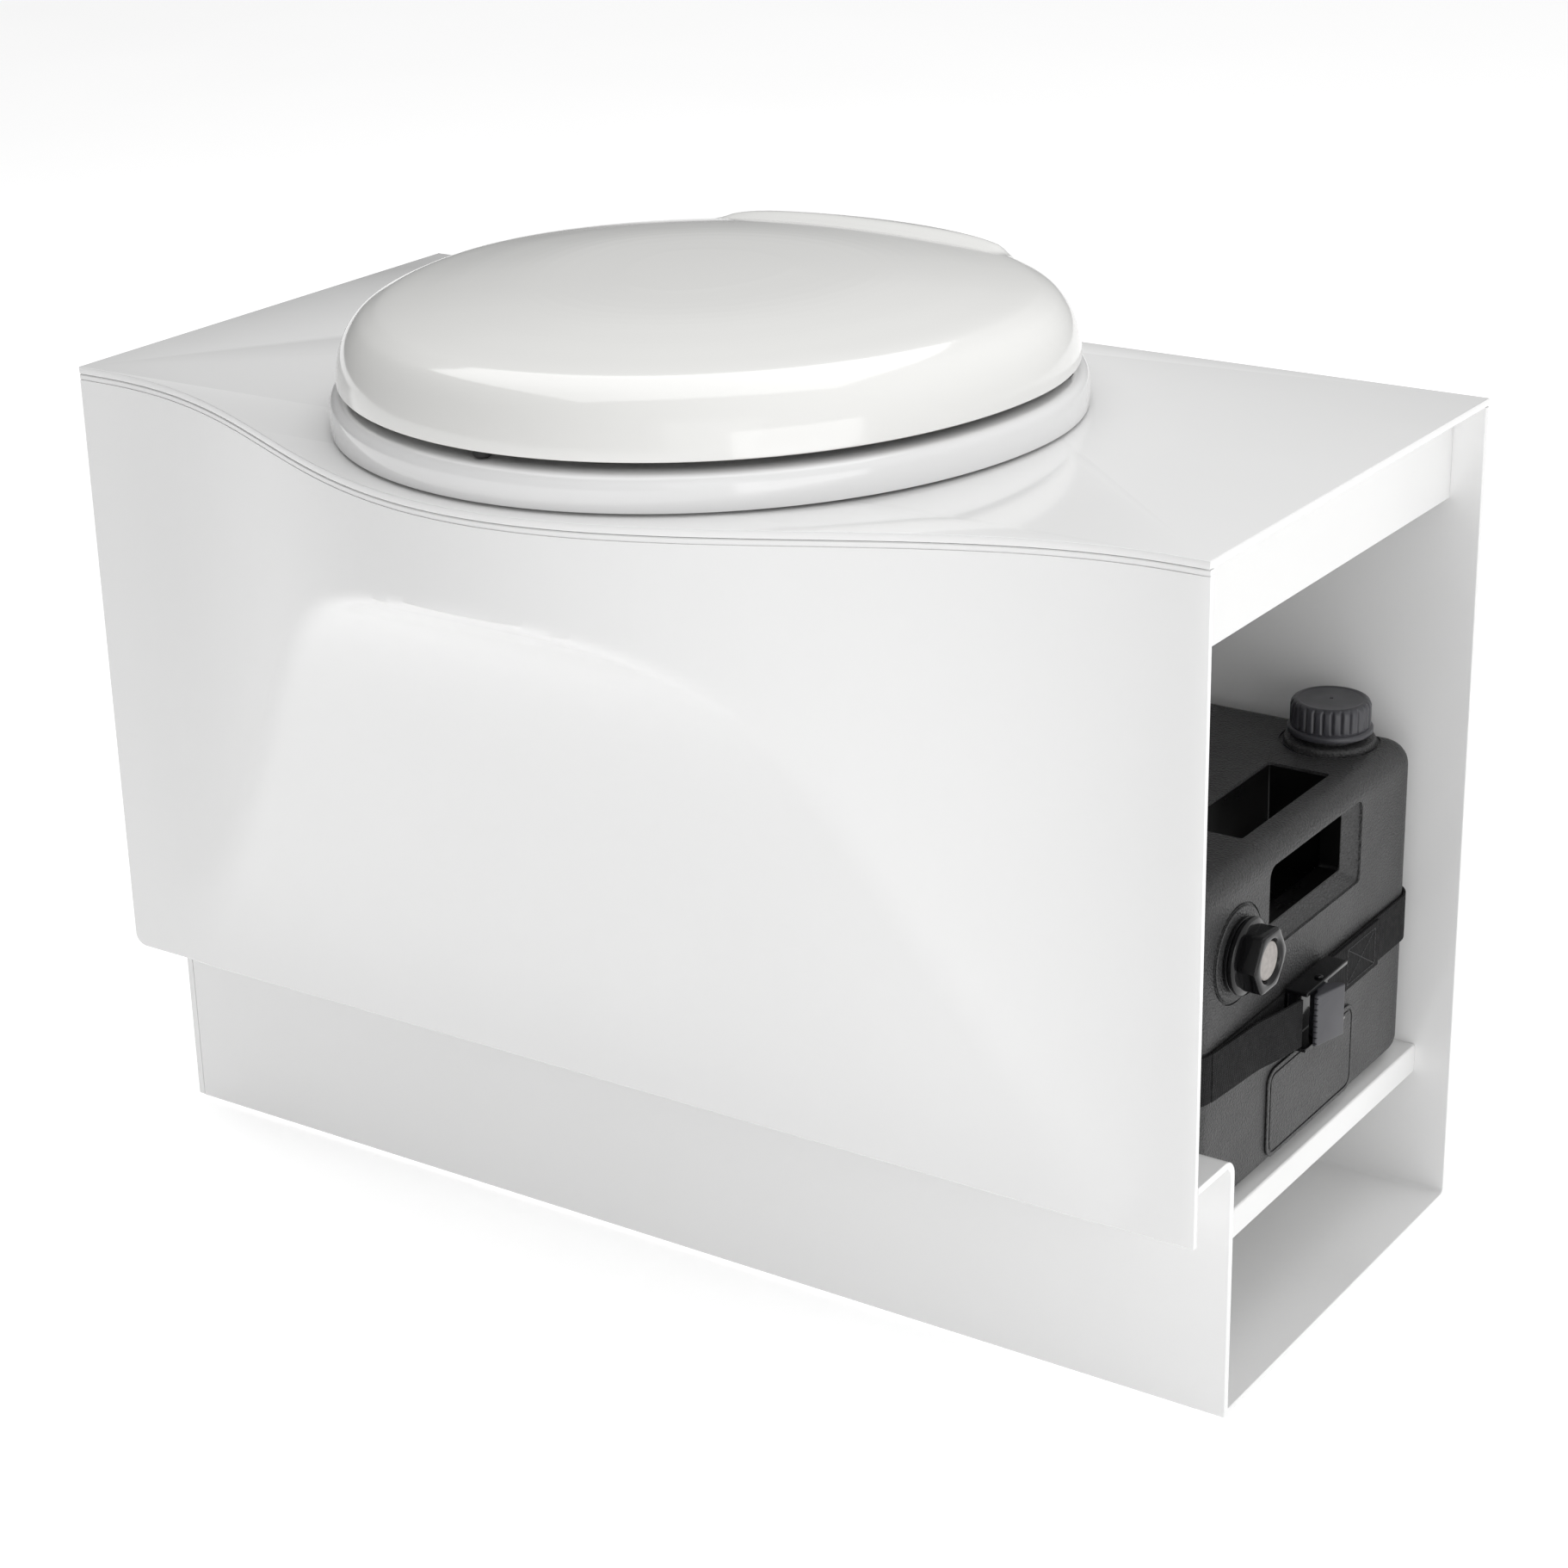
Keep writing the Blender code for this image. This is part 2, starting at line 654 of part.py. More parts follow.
def valve_housing():
    """A shallow cover screwed to the tank: a lid plate with a skirt, open at the inlet and the pivot."""
    cover = prism(swept_outline(0.0040), STEP_Z + GAP, 0.2622)
    made = piece("valve_housing", cover, LOOKS["grained_black"])
    room = prism(swept_outline(0.0015), STEP_Z - 0.001, BLADE_Z[1] + GAP)
    cut(made, cutter("cut_housing_room", room))
    cut(made, cutter("cut_housing_inlet", rod(OUTLET, 0.0385, 0.25, 0.27, count=40)))
    cut(made, cutter("cut_housing_pivot", rod(VALVE_AXIS, 0.0125, 0.25, 0.27, count=32)))


def blade_outline():
    reach = math.dist(VALVE_AXIS, OUTLET)
    aim = math.atan2(OUTLET[1] - VALVE_AXIS[1], OUTLET[0] - VALVE_AXIS[0])
    centre = polar(reach, aim)
    points = []
    for k in range(29):
        turn = aim + math.radians(-160 + 320 * k / 28)
        points.append((centre[0] + BLADE_DISC * math.cos(turn), centre[1] + BLADE_DISC * math.sin(turn)))
    for k in range(9):
        turn = aim + math.radians(80 + 200 * k / 8)
        hub = BLADE_HUB - 0.0005
        points.append((VALVE_AXIS[0] + hub * math.cos(turn), VALVE_AXIS[1] + hub * math.sin(turn)))
    return points


def valve_blade():
    """The blade, its arm and a hub with a slot along X that the shaft's tongue drives."""
    pivot = (*VALVE_AXIS, BLADE_Z[0])
    made = piece("valve_blade", prism(blade_outline(), *BLADE_Z), LOOKS["gloss_black"], pivot)
    join(made, cutter("add_hub", rod(VALVE_AXIS, 0.0115, BLADE_Z[0] + 0.001, HUB_TOP, count=32)))
    slot_x = (VALVE_AXIS[0] - 0.02, VALVE_AXIS[0] + 0.02)
    slot_y = (VALVE_AXIS[1] - 0.0028, VALVE_AXIS[1] + 0.0028)
    cut(made, cutter("cut_hub_slot", block(slot_x, slot_y, (TONGUE_LOW - GAP, 0.28))))


def valve_handle():
    pivot = (*VALVE_AXIS, TOP)
    x, y = VALVE_AXIS
    bar = rod(VALVE_AXIS, 0.0060, HUB_TOP + 0.001, 0.4680)
    shaft = piece("valve_shaft", bar, LOOKS["steel"], pivot)
    flat = block((x - 0.009, x + 0.009), (y - 0.0025, y + 0.0025), (TONGUE_LOW, HUB_TOP + 0.002))
    join(shaft, cutter("add_tongue", flat))
    profile = [(0.0155, TOP + 0.0020), (0.0165, TOP + 0.0030), (0.0150, 0.4650)]
    profile += [(0.0130, 0.4720), (0.0100, 0.4735)]
    made = piece("valve_knob", turned(VALVE_AXIS, profile, 32), LOOKS["cap_grey"], pivot)
    wing = block((x - 0.0050, x + 0.0050), (y - 0.0030, y + 0.0230), (TOP + 0.0040, 0.4700))
    join(made, cutter("add_pointer", wing))
    cut(made, cutter("cut_knob_bore", rod(VALVE_AXIS, 0.0062, TOP - 0.01, 0.4685)))
    clip = tube(VALVE_AXIS, 0.0062, 0.0100, 0.4370, 0.4385, count=24)
    piece("shaft_clip", clip, LOOKS["steel"], pivot)
    neck = PLATE_HOLE - GAP
    bush = [(0.0062, 0.4400), (neck, 0.4400), (neck, TOP + GAP), (0.0150, TOP + GAP)]
    bush += [(0.0150, TOP + 0.0015), (0.0062, TOP + 0.0015)]
    piece("shaft_bush", turned(VALVE_AXIS, bush, ring=True), LOOKS["grained_black"])


def pour_cap():
    pivot = (*POUR, 0.2740)
    inside = [(0.0060, 0.2885), (0.0172, 0.2885), (0.0172, 0.2738)]
    outside = [(0.0220, 0.2738), (0.0222, 0.2765), (0.0208, 0.2775)]
    outside += [(0.0206, 0.2895), (0.0190, 0.2912), (0.0060, 0.2916)]
    piece("pour_cap", turned(POUR, [*inside, *outside], 32), LOOKS["cap_grey"], pivot)
    ring = tube(POUR, 0.0120, 0.0165, 0.2844, 0.2880, count=32)
    piece("cap_gasket", ring, LOOKS["rubber_black"], pivot)


def vent_plug():
    axis = (TANK_X[1], *VENT)
    shape = [
        (circle(VENT, 0.0060, 24), 0.2980),
        (circle(VENT, 0.0125, 24), 0.2980),
        (circle(VENT, 0.0125, 24), 0.3146),
        (circle(VENT, 0.0190, 24), 0.3146),
        (circle(VENT, 0.0195, 24), 0.3160),
        (circle(VENT, 0.0195, 24), 0.3190),
        (circle(VENT, 0.0180, 24), 0.3200),
        (hexagon(VENT, 0.0300), 0.3215),
        (hexagon(VENT, 0.0300), 0.3295),
        (hexagon(VENT, 0.0280), 0.3310),
        (circle(VENT, 0.0110, 24), 0.3310),
        (circle(VENT, 0.0100, 24), 0.3280),
        (circle(VENT, 0.0060, 24), 0.3280),
    ]
    loops = [at_reach(outline, x) for outline, x in shape]
    piece("vent_plug", loft(loops, ring=True), LOOKS["gloss_black"], axis)
    piece("vent_mesh", rod(VENT, 0.0097, 0.3283, 0.3293, "X"), LOOKS["filter_grey"], axis)
    ring = tube(VENT, 0.0127, 0.0144, 0.3098, 0.3118, "X", 24)
    piece("vent_o_ring", ring, LOOKS["rubber_black"], axis)


# Strap and buckle


def strap():
    low, high = STRAP_Z
    inner, outer = STRAP_OFF, STRAP_OFF + STRAP_THICK
    loops = []
    for grow, z in ((inner, low), (outer, low), (outer, high), (inner, high)):
        xs = (TANK_X[0] - grow, TANK_X[1] + grow)
        ys = (TANK_Y[0] - grow, TANK_Y[1] + grow)
        loops.append(at_height(rounded_rectangle(xs, ys, 0.0155 + grow), z))
    piece("strap_band", loft(loops, ring=True), LOOKS["webbing"])
    face = STRAP_FACE + GAP
    path = [(face, -0.088), (face + 0.0004, -0.070), (BUCKLE_FRONT - 0.0030, -0.016)]
    outside = [(x + STRAP_THICK, y) for x, y in path]
    piece("strap_tail", prism(path + outside[::-1], low, high), LOOKS["webbing"])


def buckle():
    """A cam buckle: a channel open along the strap, a pin across it and a toothed lever on the pin."""
    back = STRAP_FACE + GAP
    web, cheek = 0.0018, 0.0022
    low, high = BUCKLE_Z
    outline = [
        (back, low),
        (BUCKLE_FRONT, low),
        (BUCKLE_FRONT, low + cheek),
        (back + web, low + cheek),
        (back + web, high - cheek),
        (BUCKLE_FRONT, high - cheek),
        (BUCKLE_FRONT, high),
        (back, high),
    ]
    frame = piece("buckle_frame", prism(outline, *BUCKLE_Y, "Y"), LOOKS["gloss_black"])
    cut(frame, cutter("cut_buckle_pin", rod(BUCKLE_PIN, 0.0016, low - 0.01, high + 0.01, count=16)))
    piece("buckle_pin", rod(BUCKLE_PIN, 0.0015, low, high, count=16), LOOKS["steel"])
    px, py = BUCKLE_PIN
    outline = [
        (px - 0.0030, py + 0.0030),
        (px - 0.0040, py - 0.0010),
        (px - 0.0020, py - 0.0045),
        (px + 0.0040, py - 0.0100),
        (px + 0.0050, py - 0.0155),
        (px + 0.0070, py - 0.0155),
        (px + 0.0122, py + 0.0050),
        (px + 0.0100, py + 0.0060),
        (px + 0.0040, py + 0.0020),
    ]
    inside = (low + cheek + GAP, high - cheek - GAP)
    lever = prism(outline, *inside, holes=[circle(BUCKLE_PIN, 0.0016, 16)])
    piece("buckle_lever", lever, LOOKS["cap_grey"], (*BUCKLE_PIN, low))


def build():
    clear_scene()
    make_looks()
    top_plate()
    front_panel()
    base_shell()
    left_side_panel()
    tank_floor()
    header_rail()
    bowl()
    bowl_seals()
    hinge_block()
    hinge_fixings()
    seat_ring()
    lid_shell()
    bumpers()
    tank_shell()
    tank_fittings()
    valve_housing()
    valve_blade()
    valve_handle()
    pour_cap()
    vent_plug()
    strap()
    buckle()


build()
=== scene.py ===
"""The finished surfaces of the cassette toilet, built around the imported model."""

import math

import bmesh
import bpy
from mathutils import Matrix, Vector
from mathutils.geometry import tessellate_polygon


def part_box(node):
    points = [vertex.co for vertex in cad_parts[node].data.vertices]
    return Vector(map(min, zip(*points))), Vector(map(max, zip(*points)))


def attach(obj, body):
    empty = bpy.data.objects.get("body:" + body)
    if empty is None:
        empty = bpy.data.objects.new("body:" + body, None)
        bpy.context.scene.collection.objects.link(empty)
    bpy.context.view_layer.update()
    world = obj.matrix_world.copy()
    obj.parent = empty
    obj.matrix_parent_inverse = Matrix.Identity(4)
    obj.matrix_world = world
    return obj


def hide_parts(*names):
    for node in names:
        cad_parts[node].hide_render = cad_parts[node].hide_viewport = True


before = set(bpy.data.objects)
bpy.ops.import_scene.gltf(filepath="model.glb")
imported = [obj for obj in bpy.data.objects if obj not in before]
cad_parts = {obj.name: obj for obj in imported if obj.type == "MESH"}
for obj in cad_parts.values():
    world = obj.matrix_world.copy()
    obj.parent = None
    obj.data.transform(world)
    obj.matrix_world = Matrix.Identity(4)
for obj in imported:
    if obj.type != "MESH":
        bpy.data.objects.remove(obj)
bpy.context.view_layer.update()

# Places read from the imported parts

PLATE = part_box("top_plate")
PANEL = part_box("front_panel")
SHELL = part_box("base_shell")
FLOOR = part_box("tank_floor")
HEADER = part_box("header_rail")
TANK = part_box("tank_shell")
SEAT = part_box("seat_ring")

TOP = PLATE[1].z
PLATE_LOW = PLATE[0].z
RIGHT = PLATE[1].x
BACK = PLATE[1].y
SHEET = PLATE[1].z - PLATE[0].z
LENGTH = 2 * RIGHT

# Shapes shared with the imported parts

BULGE = -BACK - PLATE[0].y
BULGE_REACH = 0.321
CREASE = 0.005
LEG_SLOPE = 0.273
LEG_BLEND = 0.020
LEG_FOOT = 0.1434
BROW_REACH = 0.033
BROW_HEIGHT = 0.397
BROW_FADE = 0.0227
PLINTH_FRONT = -0.1135
SHELF_LOW = 0.139
SEAT_CENTRE = -0.034
SEAT_WIDE = SEAT[1].x
SEAT_FRONT = SEAT_CENTRE - SEAT[0].y
SEAT_REAR = 0.178
HOLE_CENTRE = -0.050
HINGE = (0, 0.1205, 0.487)
NOTCH_HALF = 0.066
NOTCH_FRONT = 0.1100
LUG_END = 0.075
PIN_RADIUS = 0.0035
BORE_RADIUS = PIN_RADIUS + 0.0001
KNUCKLE_RADIUS = 0.009
KNUCKLE_FROM = 0.053
KNUCKLE_TO = 0.064
LID_WALL = 0.003
RIDGE_FRONT = 0.0885
RIDGE_HALF = 0.088
RIDGE_RISE = 0.0042
OUTLET = (-0.025, -0.020)
OUTLET_LOW = 0.2635
BOWL_WALL = 0.003
VALVE_AXIS = (-0.160, 0.100)
POUR = (0.275, 0.113)
VENT = (-0.065, 0.225)
TANK_FACE = 0.313
TANK_X = (TANK[0].x, TANK_FACE)
TANK_Y = (TANK[0].y, TANK[1].y)
TANK_Z = (TANK[0].z, 0.268)
STRAP_Z = (0.158, 0.184)

# Room light

ROOM_BRIGHT_SIDE = (0.80, 0.30, 0.55)
ROOM_LEVEL = 0.355
ROOM_LEAN = 0.52
ROOM_DIMMEST = 0.12
FLOOR_GLOW = 0.44

# Camera: azimuth, elevation and roll in degrees, place in metres, lens in millimetres

CAMERA_ANGLES = (34.25, 21.72, -1.36)
CAMERA_PLACE = (0.9715, -1.4140, 0.9096)
CAMERA_LENS = 78.46


# Outlines


def circle(centre, radius, count=64):
    turns = (2 * math.pi * i / count for i in range(count))
    return [(centre[0] + radius * math.cos(a), centre[1] + radius * math.sin(a)) for a in turns]


def egg(centre, wide, front, rear, count=160):
    """A closed oval about centre, reaching front towards -Y and rear towards +Y."""
    points = []
    for i in range(count):
        turn = 2 * math.pi * i / count
        c, s = math.cos(turn), math.sin(turn)
        y = (rear if s > 0 else front) * s
        points.append((centre[0] + wide * c, centre[1] + y))
    return points


def seat_outline(inset, count=160):
    return egg((0, SEAT_CENTRE), SEAT_WIDE - inset, SEAT_FRONT - inset, SEAT_REAR - inset, count)


def rectangle(xs, ys):
    return [(xs[0], ys[0]), (xs[1], ys[0]), (xs[1], ys[1]), (xs[0], ys[1])]


def fillet(outline, radii, steps=6):
    """Round an outline's corners; radii is one number or one for each corner."""
    count = len(outline)
    if not isinstance(radii, (list, tuple)):
        radii = [radii] * count
    points = []
    for i, here in enumerate(outline):
        p = Vector(here)
        a = Vector(outline[i - 1]) - p
        b = Vector(outline[(i + 1) % count]) - p
        half = a.angle(b) / 2
        reach = min(radii[i] / math.tan(half), a.length * 0.49, b.length * 0.49)
        radius = reach * math.tan(half)
        if radius < 1e-6 or half > math.radians(89):
            points.append(tuple(p))
            continue
        start, end = p + a.normalized() * reach, p + b.normalized() * reach
        centre = p + (a.normalized() + b.normalized()).normalized() * (radius / math.sin(half))
        u, v = start - centre, end - centre
        sweep = u.angle(v)
        for k in range(steps + 1):
            t = k / steps
            mix = u * math.sin((1 - t) * sweep) + v * math.sin(t * sweep)
            points.append(tuple(centre + mix / math.sin(sweep)))
    return points


def inset_outline(outline, inset):
    """The outline moved inwards along its corners' bisectors."""
    count = len(outline)
    area = sum(
        outline[i - 1][0] * outline[i][1] - outline[i][0] * outline[i - 1][1] for i in range(count)
    )
    side = 1 if area > 0 else -1
    points = []
    for i, here in enumerate(outline):
        p = Vector(here)
        a = (p - Vector(outline[i - 1])).normalized()
        b = (Vector(outline[(i + 1) % count]) - p).normalized()
        na = Vector((-a.y, a.x)) * side
        nb = Vector((-b.y, b.x)) * side
        points.append(tuple(p + (na + nb) * (inset / max(0.3, 1 + na.dot(nb)))))
    return points


def catmull_rom(p, q, r, s, t):
    """One coordinate of the curve between q and r, with p before them and s after."""
    square = (2 * p - 5 * q + 4 * r - s) * t**2
    cube = (3 * q - p - 3 * r + s) * t**3
    return 0.5 * (2 * q + (r - p) * t + square + cube)


def smooth_curve(points, steps=6):
    """A Catmull-Rom curve through a short list of points."""
    ends = [points[0], *points, points[-1]]
    curve = []
    for group in zip(ends, ends[1:], ends[2:], ends[3:]):
        for k in range(steps):
            curve.append(tuple(catmull_rom(*values, k / steps) for values in zip(*group)))
    curve.append(tuple(points[-1]))
    return curve


# Meshes


def at_height(outline, z):
    return [(x, y, z) for x, y in outline]


def at_reach(outline, x):
    return [(x, y, z) for y, z in outline]


def loft(loops, ring=False):
    bm = bmesh.new()
    rows = [[bm.verts.new(p) for p in loop] for loop in loops]
    pairs = list(zip(rows, rows[1:]))
    if ring:
        pairs.append((rows[-1], rows[0]))
    for low, high in pairs:
        for i in range(len(low)):
            j = (i + 1) % len(low)
            bm.faces.new((low[i], low[j], high[j], high[i]))
    if not ring:
        bm.faces.new(rows[0])
        bm.faces.new(rows[-1])
    bmesh.ops.recalc_face_normals(bm, faces=bm.faces)
    return bm


PLACES = {
    "X": lambda a, b, h: (h, a, b),
    "Y": lambda a, b, h: (a, h, b),
    "Z": lambda a, b, h: (a, b, h),
}


def slab(outline, low, high, edge=0.0004, axis="Z", holes=(), steps=3):
    """A plate with softly rounded edges, drawn across axis from low to high, with holes."""
    place = PLACES[axis]
    layers = []
    for k in range(steps + 1):
        turn = math.radians(90 * k / steps)
        layers.append((edge * (1 - math.sin(turn)), low + edge * (1 - math.cos(turn))))
    layers += [(inset, low + high - at) for inset, at in reversed(layers)]
    rings = [outline, *holes]
    bm = bmesh.new()
    rows = []
    for inset, at in layers:
        shapes = [inset_outline(outline, inset)]
        shapes += [inset_outline(hole, -inset) for hole in holes]
        rows.append([[bm.verts.new(place(*p, at)) for p in shape] for shape in shapes])
    for under, over in zip(rows, rows[1:]):
        for low_ring, high_ring in zip(under, over):
            for i in range(len(low_ring)):
                j = (i + 1) % len(low_ring)
                bm.faces.new((low_ring[i], low_ring[j], high_ring[j], high_ring[i]))
    fill = tessellate_polygon([[Vector((*p, 0)) for p in ring] for ring in rings])
    for row in (rows[0], rows[-1]):
        flat = [v for ring in row for v in ring]
        for corners in fill:
            bm.faces.new([flat[i] for i in corners])
    bmesh.ops.recalc_face_normals(bm, faces=bm.faces)
    return bm


def turned(axis_centre, profile, axis="Z", count=64, ring=False):
    """A turned solid from (radius, height) pairs."""
    place = PLACES[axis]
    loops = [[place(*p, h) for p in circle(axis_centre, r, count)] for r, h in profile]
    return loft(loops, ring)


def tube_along(path, radius, sides=8):
    """A thin round thread along a path of points."""
    loops = []
    for i, here in enumerate(path):
        p = Vector(here)
        before = Vector(path[max(0, i - 1)])
        after = Vector(path[min(len(path) - 1, i + 1)])
        run = (after - before).normalized()
        side = run.orthogonal().normalized()
        up = run.cross(side)
        turns = (2 * math.pi * k / sides for k in range(sides))
        loops.append([tuple(p + (side * math.cos(t) + up * math.sin(t)) * radius) for t in turns])
    return loft(loops)


def piece(name, bm, look, body=None, replaces=(), crisp=38):
    mesh = bpy.data.meshes.new(name)
    bm.to_mesh(mesh)
    bm.free()
    mesh.materials.append(look)
    mesh.shade_smooth()
    mesh.set_sharp_from_angle(angle=math.radians(crisp))
    made = bpy.data.objects.new(name, mesh)
    bpy.context.scene.collection.objects.link(made)
    if body:
        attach(made, body)
    if replaces:
        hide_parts(*replaces)
    return made


def carve(made, shapes, how="DIFFERENCE", crisp=38):
    """Cut or join solids into a piece, and keep the result as its mesh."""
    helpers = []
    for bm in shapes:
        helper = piece("helper", bm, made.data.materials[0])
        helpers.append(helper)
        step = made.modifiers.new("carve", "BOOLEAN")
        step.operation = how
        step.object = helper
        step.solver = "EXACT"
    graph = bpy.context.evaluated_depsgraph_get()
    result = bpy.data.meshes.new_from_object(made.evaluated_get(graph))
    made.modifiers.clear()
    made.data = result
    for helper in helpers:
        bpy.data.objects.remove(helper, do_unlink=True)
    made.data.shade_smooth()
    made.data.set_sharp_from_angle(angle=math.radians(crisp))
    return made


def soften(made, width, segments=3, angle=35):
    step = made.modifiers.new("soften", "BEVEL")
    step.width = width
    step.segments = segments
    step.limit_method = "ANGLE"
    step.angle_limit = math.radians(angle)
    step.harden_normals = False
    return made


# Materials


class Look:
    """A Principled material whose colour, roughness and bump all vary by noise in object space."""

    def __init__(self, name, colour, roughness, metallic=0.0):
        self.material = bpy.data.materials.new(name)
        self.material.use_nodes = True
        self.nodes = self.material.node_tree.nodes
        self.links = self.material.node_tree.links
        self.shader = self.nodes["Principled BSDF"]
        self.shader.inputs["Metallic"].default_value = metallic
        self.shader.inputs["Roughness"].default_value = roughness
        self.shader.inputs["Base Color"].default_value = (*colour, 1)
        self.place = self.nodes.new("ShaderNodeTexCoord").outputs["Object"]
        self.colour = colour
        self.height = None

    def noise(self, scale, detail=4.0, rough=0.5):
        node = self.nodes.new("ShaderNodeTexNoise")
        node.inputs["Scale"].default_value = scale
        node.inputs["Detail"].default_value = detail
        node.inputs["Roughness"].default_value = rough
        self.links.new(self.place, node.inputs["Vector"])
        return node.outputs["Fac"]

    def spread(self, value, low, high):
        node = self.nodes.new("ShaderNodeMapRange")
        node.inputs["From Min"].default_value = 0.3
        node.inputs["From Max"].default_value = 0.7
        node.inputs["To Min"].default_value = low
        node.inputs["To Max"].default_value = high
        self.links.new(value, node.inputs["Value"])
        return node.outputs["Result"]

    def tint(self, scale, amount):
        """Shift the base colour a little darker and lighter."""
        mix = self.nodes.new("ShaderNodeMix")
        mix.data_type = "RGBA"
        mix.inputs["A"].default_value = (*(c * (1 - amount) for c in self.colour), 1)
        mix.inputs["B"].default_value = (*(min(1, c * (1 + amount)) for c in self.colour), 1)
        self.links.new(self.spread(self.noise(scale), 0, 1), mix.inputs["Factor"])
        self.links.new(mix.outputs["Result"], self.shader.inputs["Base Color"])
        return self

    def smudge(self, scale, low, high):
        self.links.new(self.spread(self.noise(scale, 6), low, high), self.shader.inputs["Roughness"])
        return self

    def bump(self, height, strength, distance):
        node = self.nodes.new("ShaderNodeBump")
        node.inputs["Strength"].default_value = strength
        node.inputs["Distance"].default_value = distance
        self.links.new(height, node.inputs["Height"])
        if self.height:
            self.links.new(self.height, node.inputs["Normal"])
        self.height = node.outputs["Normal"]
        self.links.new(self.height, self.shader.inputs["Normal"])
        return self

    def coat(self, weight, roughness):
        self.shader.inputs["Coat Weight"].default_value = weight
        self.shader.inputs["Coat Roughness"].default_value = roughness
        return self

    def pebble(self, scale):
        """Rounded cells, as on grained plastic."""
        node = self.nodes.new("ShaderNodeTexVoronoi")
        node.feature = "SMOOTH_F1"
        node.inputs["Scale"].default_value = scale
        node.inputs["Smoothness"].default_value = 0.6
        self.links.new(self.place, node.inputs["Vector"])
        return node.outputs["Distance"]

    def math(self, operation, a, b=0.0):
        node = self.nodes.new("ShaderNodeMath")
        node.operation = operation
        for socket, value in zip(node.inputs, (a, b)):
            if isinstance(value, (int, float)):
                socket.default_value = value
            else:
                self.links.new(value, socket)
        return node.outputs["Value"]

    def weave(self, along, across):
        """Crossed threads: along and across are threads per metre round the strap and up it."""
        split = self.nodes.new("ShaderNodeSeparateXYZ")
        self.links.new(self.place, split.inputs["Vector"])
        x, y, z = split.outputs
        run = self.math("MULTIPLY", self.math("ADD", x, y), 2 * math.pi * along)
        rise = self.math("MULTIPLY", z, 2 * math.pi * across)
        wander = self.math("SINE", self.math("MULTIPLY", z, 480))
        slant = self.math("ADD", run, self.math("MULTIPLY", wander, 2.2))
        across_part = self.math("MULTIPLY", self.math("SINE", rise), 0.6)
        return self.math("ADD", self.math("SINE", slant), across_part)


def white_look(name, colour, low, high, coat):
    """A pale glossy surface whose roughness wanders from low to high."""
    look = Look(name, colour, low).tint(9, 0.006).smudge(14, low, high)
    look.bump(look.noise(3.2, 2), 0.05, 0.004).bump(look.noise(900, 2), 0.02, 0.0001)
    return look.coat(coat, 0.06).material


def pale_looks():
    rows = (
        ("white_panel", (0.83, 0.83, 0.828), 0.16, 0.22, 0.5),
        ("white_inner", (0.82, 0.82, 0.815), 0.30, 0.38, 0.0),
        ("white_seat", (0.86, 0.86, 0.86), 0.08, 0.13, 0.6),
        ("cream_lid", (0.86, 0.858, 0.84), 0.10, 0.15, 0.6),
        ("bowl_white", (0.85, 0.85, 0.845), 0.08, 0.14, 0.5),
    )
    return {row[0]: white_look(*row) for row in rows}


def dark_looks():
    looks = {}
    grain = Look("grained_black", (0.029, 0.029, 0.0295), 0.5).tint(850, 0.5).smudge(30, 0.44, 0.54)
    grain.bump(grain.pebble(900), 0.8, 0.0006).bump(grain.noise(700, 5), 0.5, 0.0005)
    looks["grained_black"] = grain.material
    # Near-black and far darker than the tank plastic: painted shade for the inside of the hand recess and
    # grip hole. The low roughness is the surface's own.
    lining = Look("recess_painted_shade", (0.0025, 0.0025, 0.0025), 0.3).tint(60, 0.15).smudge(50, 0.24, 0.36)
    lining.shader.inputs["Specular IOR Level"].default_value = 0.25
    looks["recess_painted_shade"] = lining.bump(lining.noise(300, 3), 0.05, 0.0002).material
    gloss = Look("gloss_black", (0.004, 0.004, 0.0045), 0.15).tint(80, 0.10).smudge(60, 0.10, 0.18)
    gloss.shader.inputs["Specular IOR Level"].default_value = 0.35
    gloss.bump(gloss.noise(300, 3), 0.05, 0.0002)
    looks["gloss_black"] = gloss.material
    cap = Look("cap_grey", (0.044, 0.044, 0.051), 0.35).tint(70, 0.06).smudge(90, 0.30, 0.40)
    cap.bump(cap.noise(1500, 3), 0.12, 0.0001)
    looks["cap_grey"] = cap.material
    rubber = Look("rubber_black", (0.022, 0.022, 0.022), 0.75).tint(90, 0.12).smudge(60, 0.68, 0.82)
    rubber.bump(rubber.noise(1200, 4), 0.25, 0.0002)
    looks["rubber_black"] = rubber.material
    web = Look("webbing", (0.0085, 0.0085, 0.009), 0.85).tint(200, 0.25).smudge(300, 0.78, 0.92)
    web.bump(web.weave(640, 900), 0.55, 0.00028).bump(web.noise(2400, 4), 0.3, 0.0001)
    web.shader.inputs["Specular IOR Level"].default_value = 0.25
    looks["webbing"] = web.material
    return looks


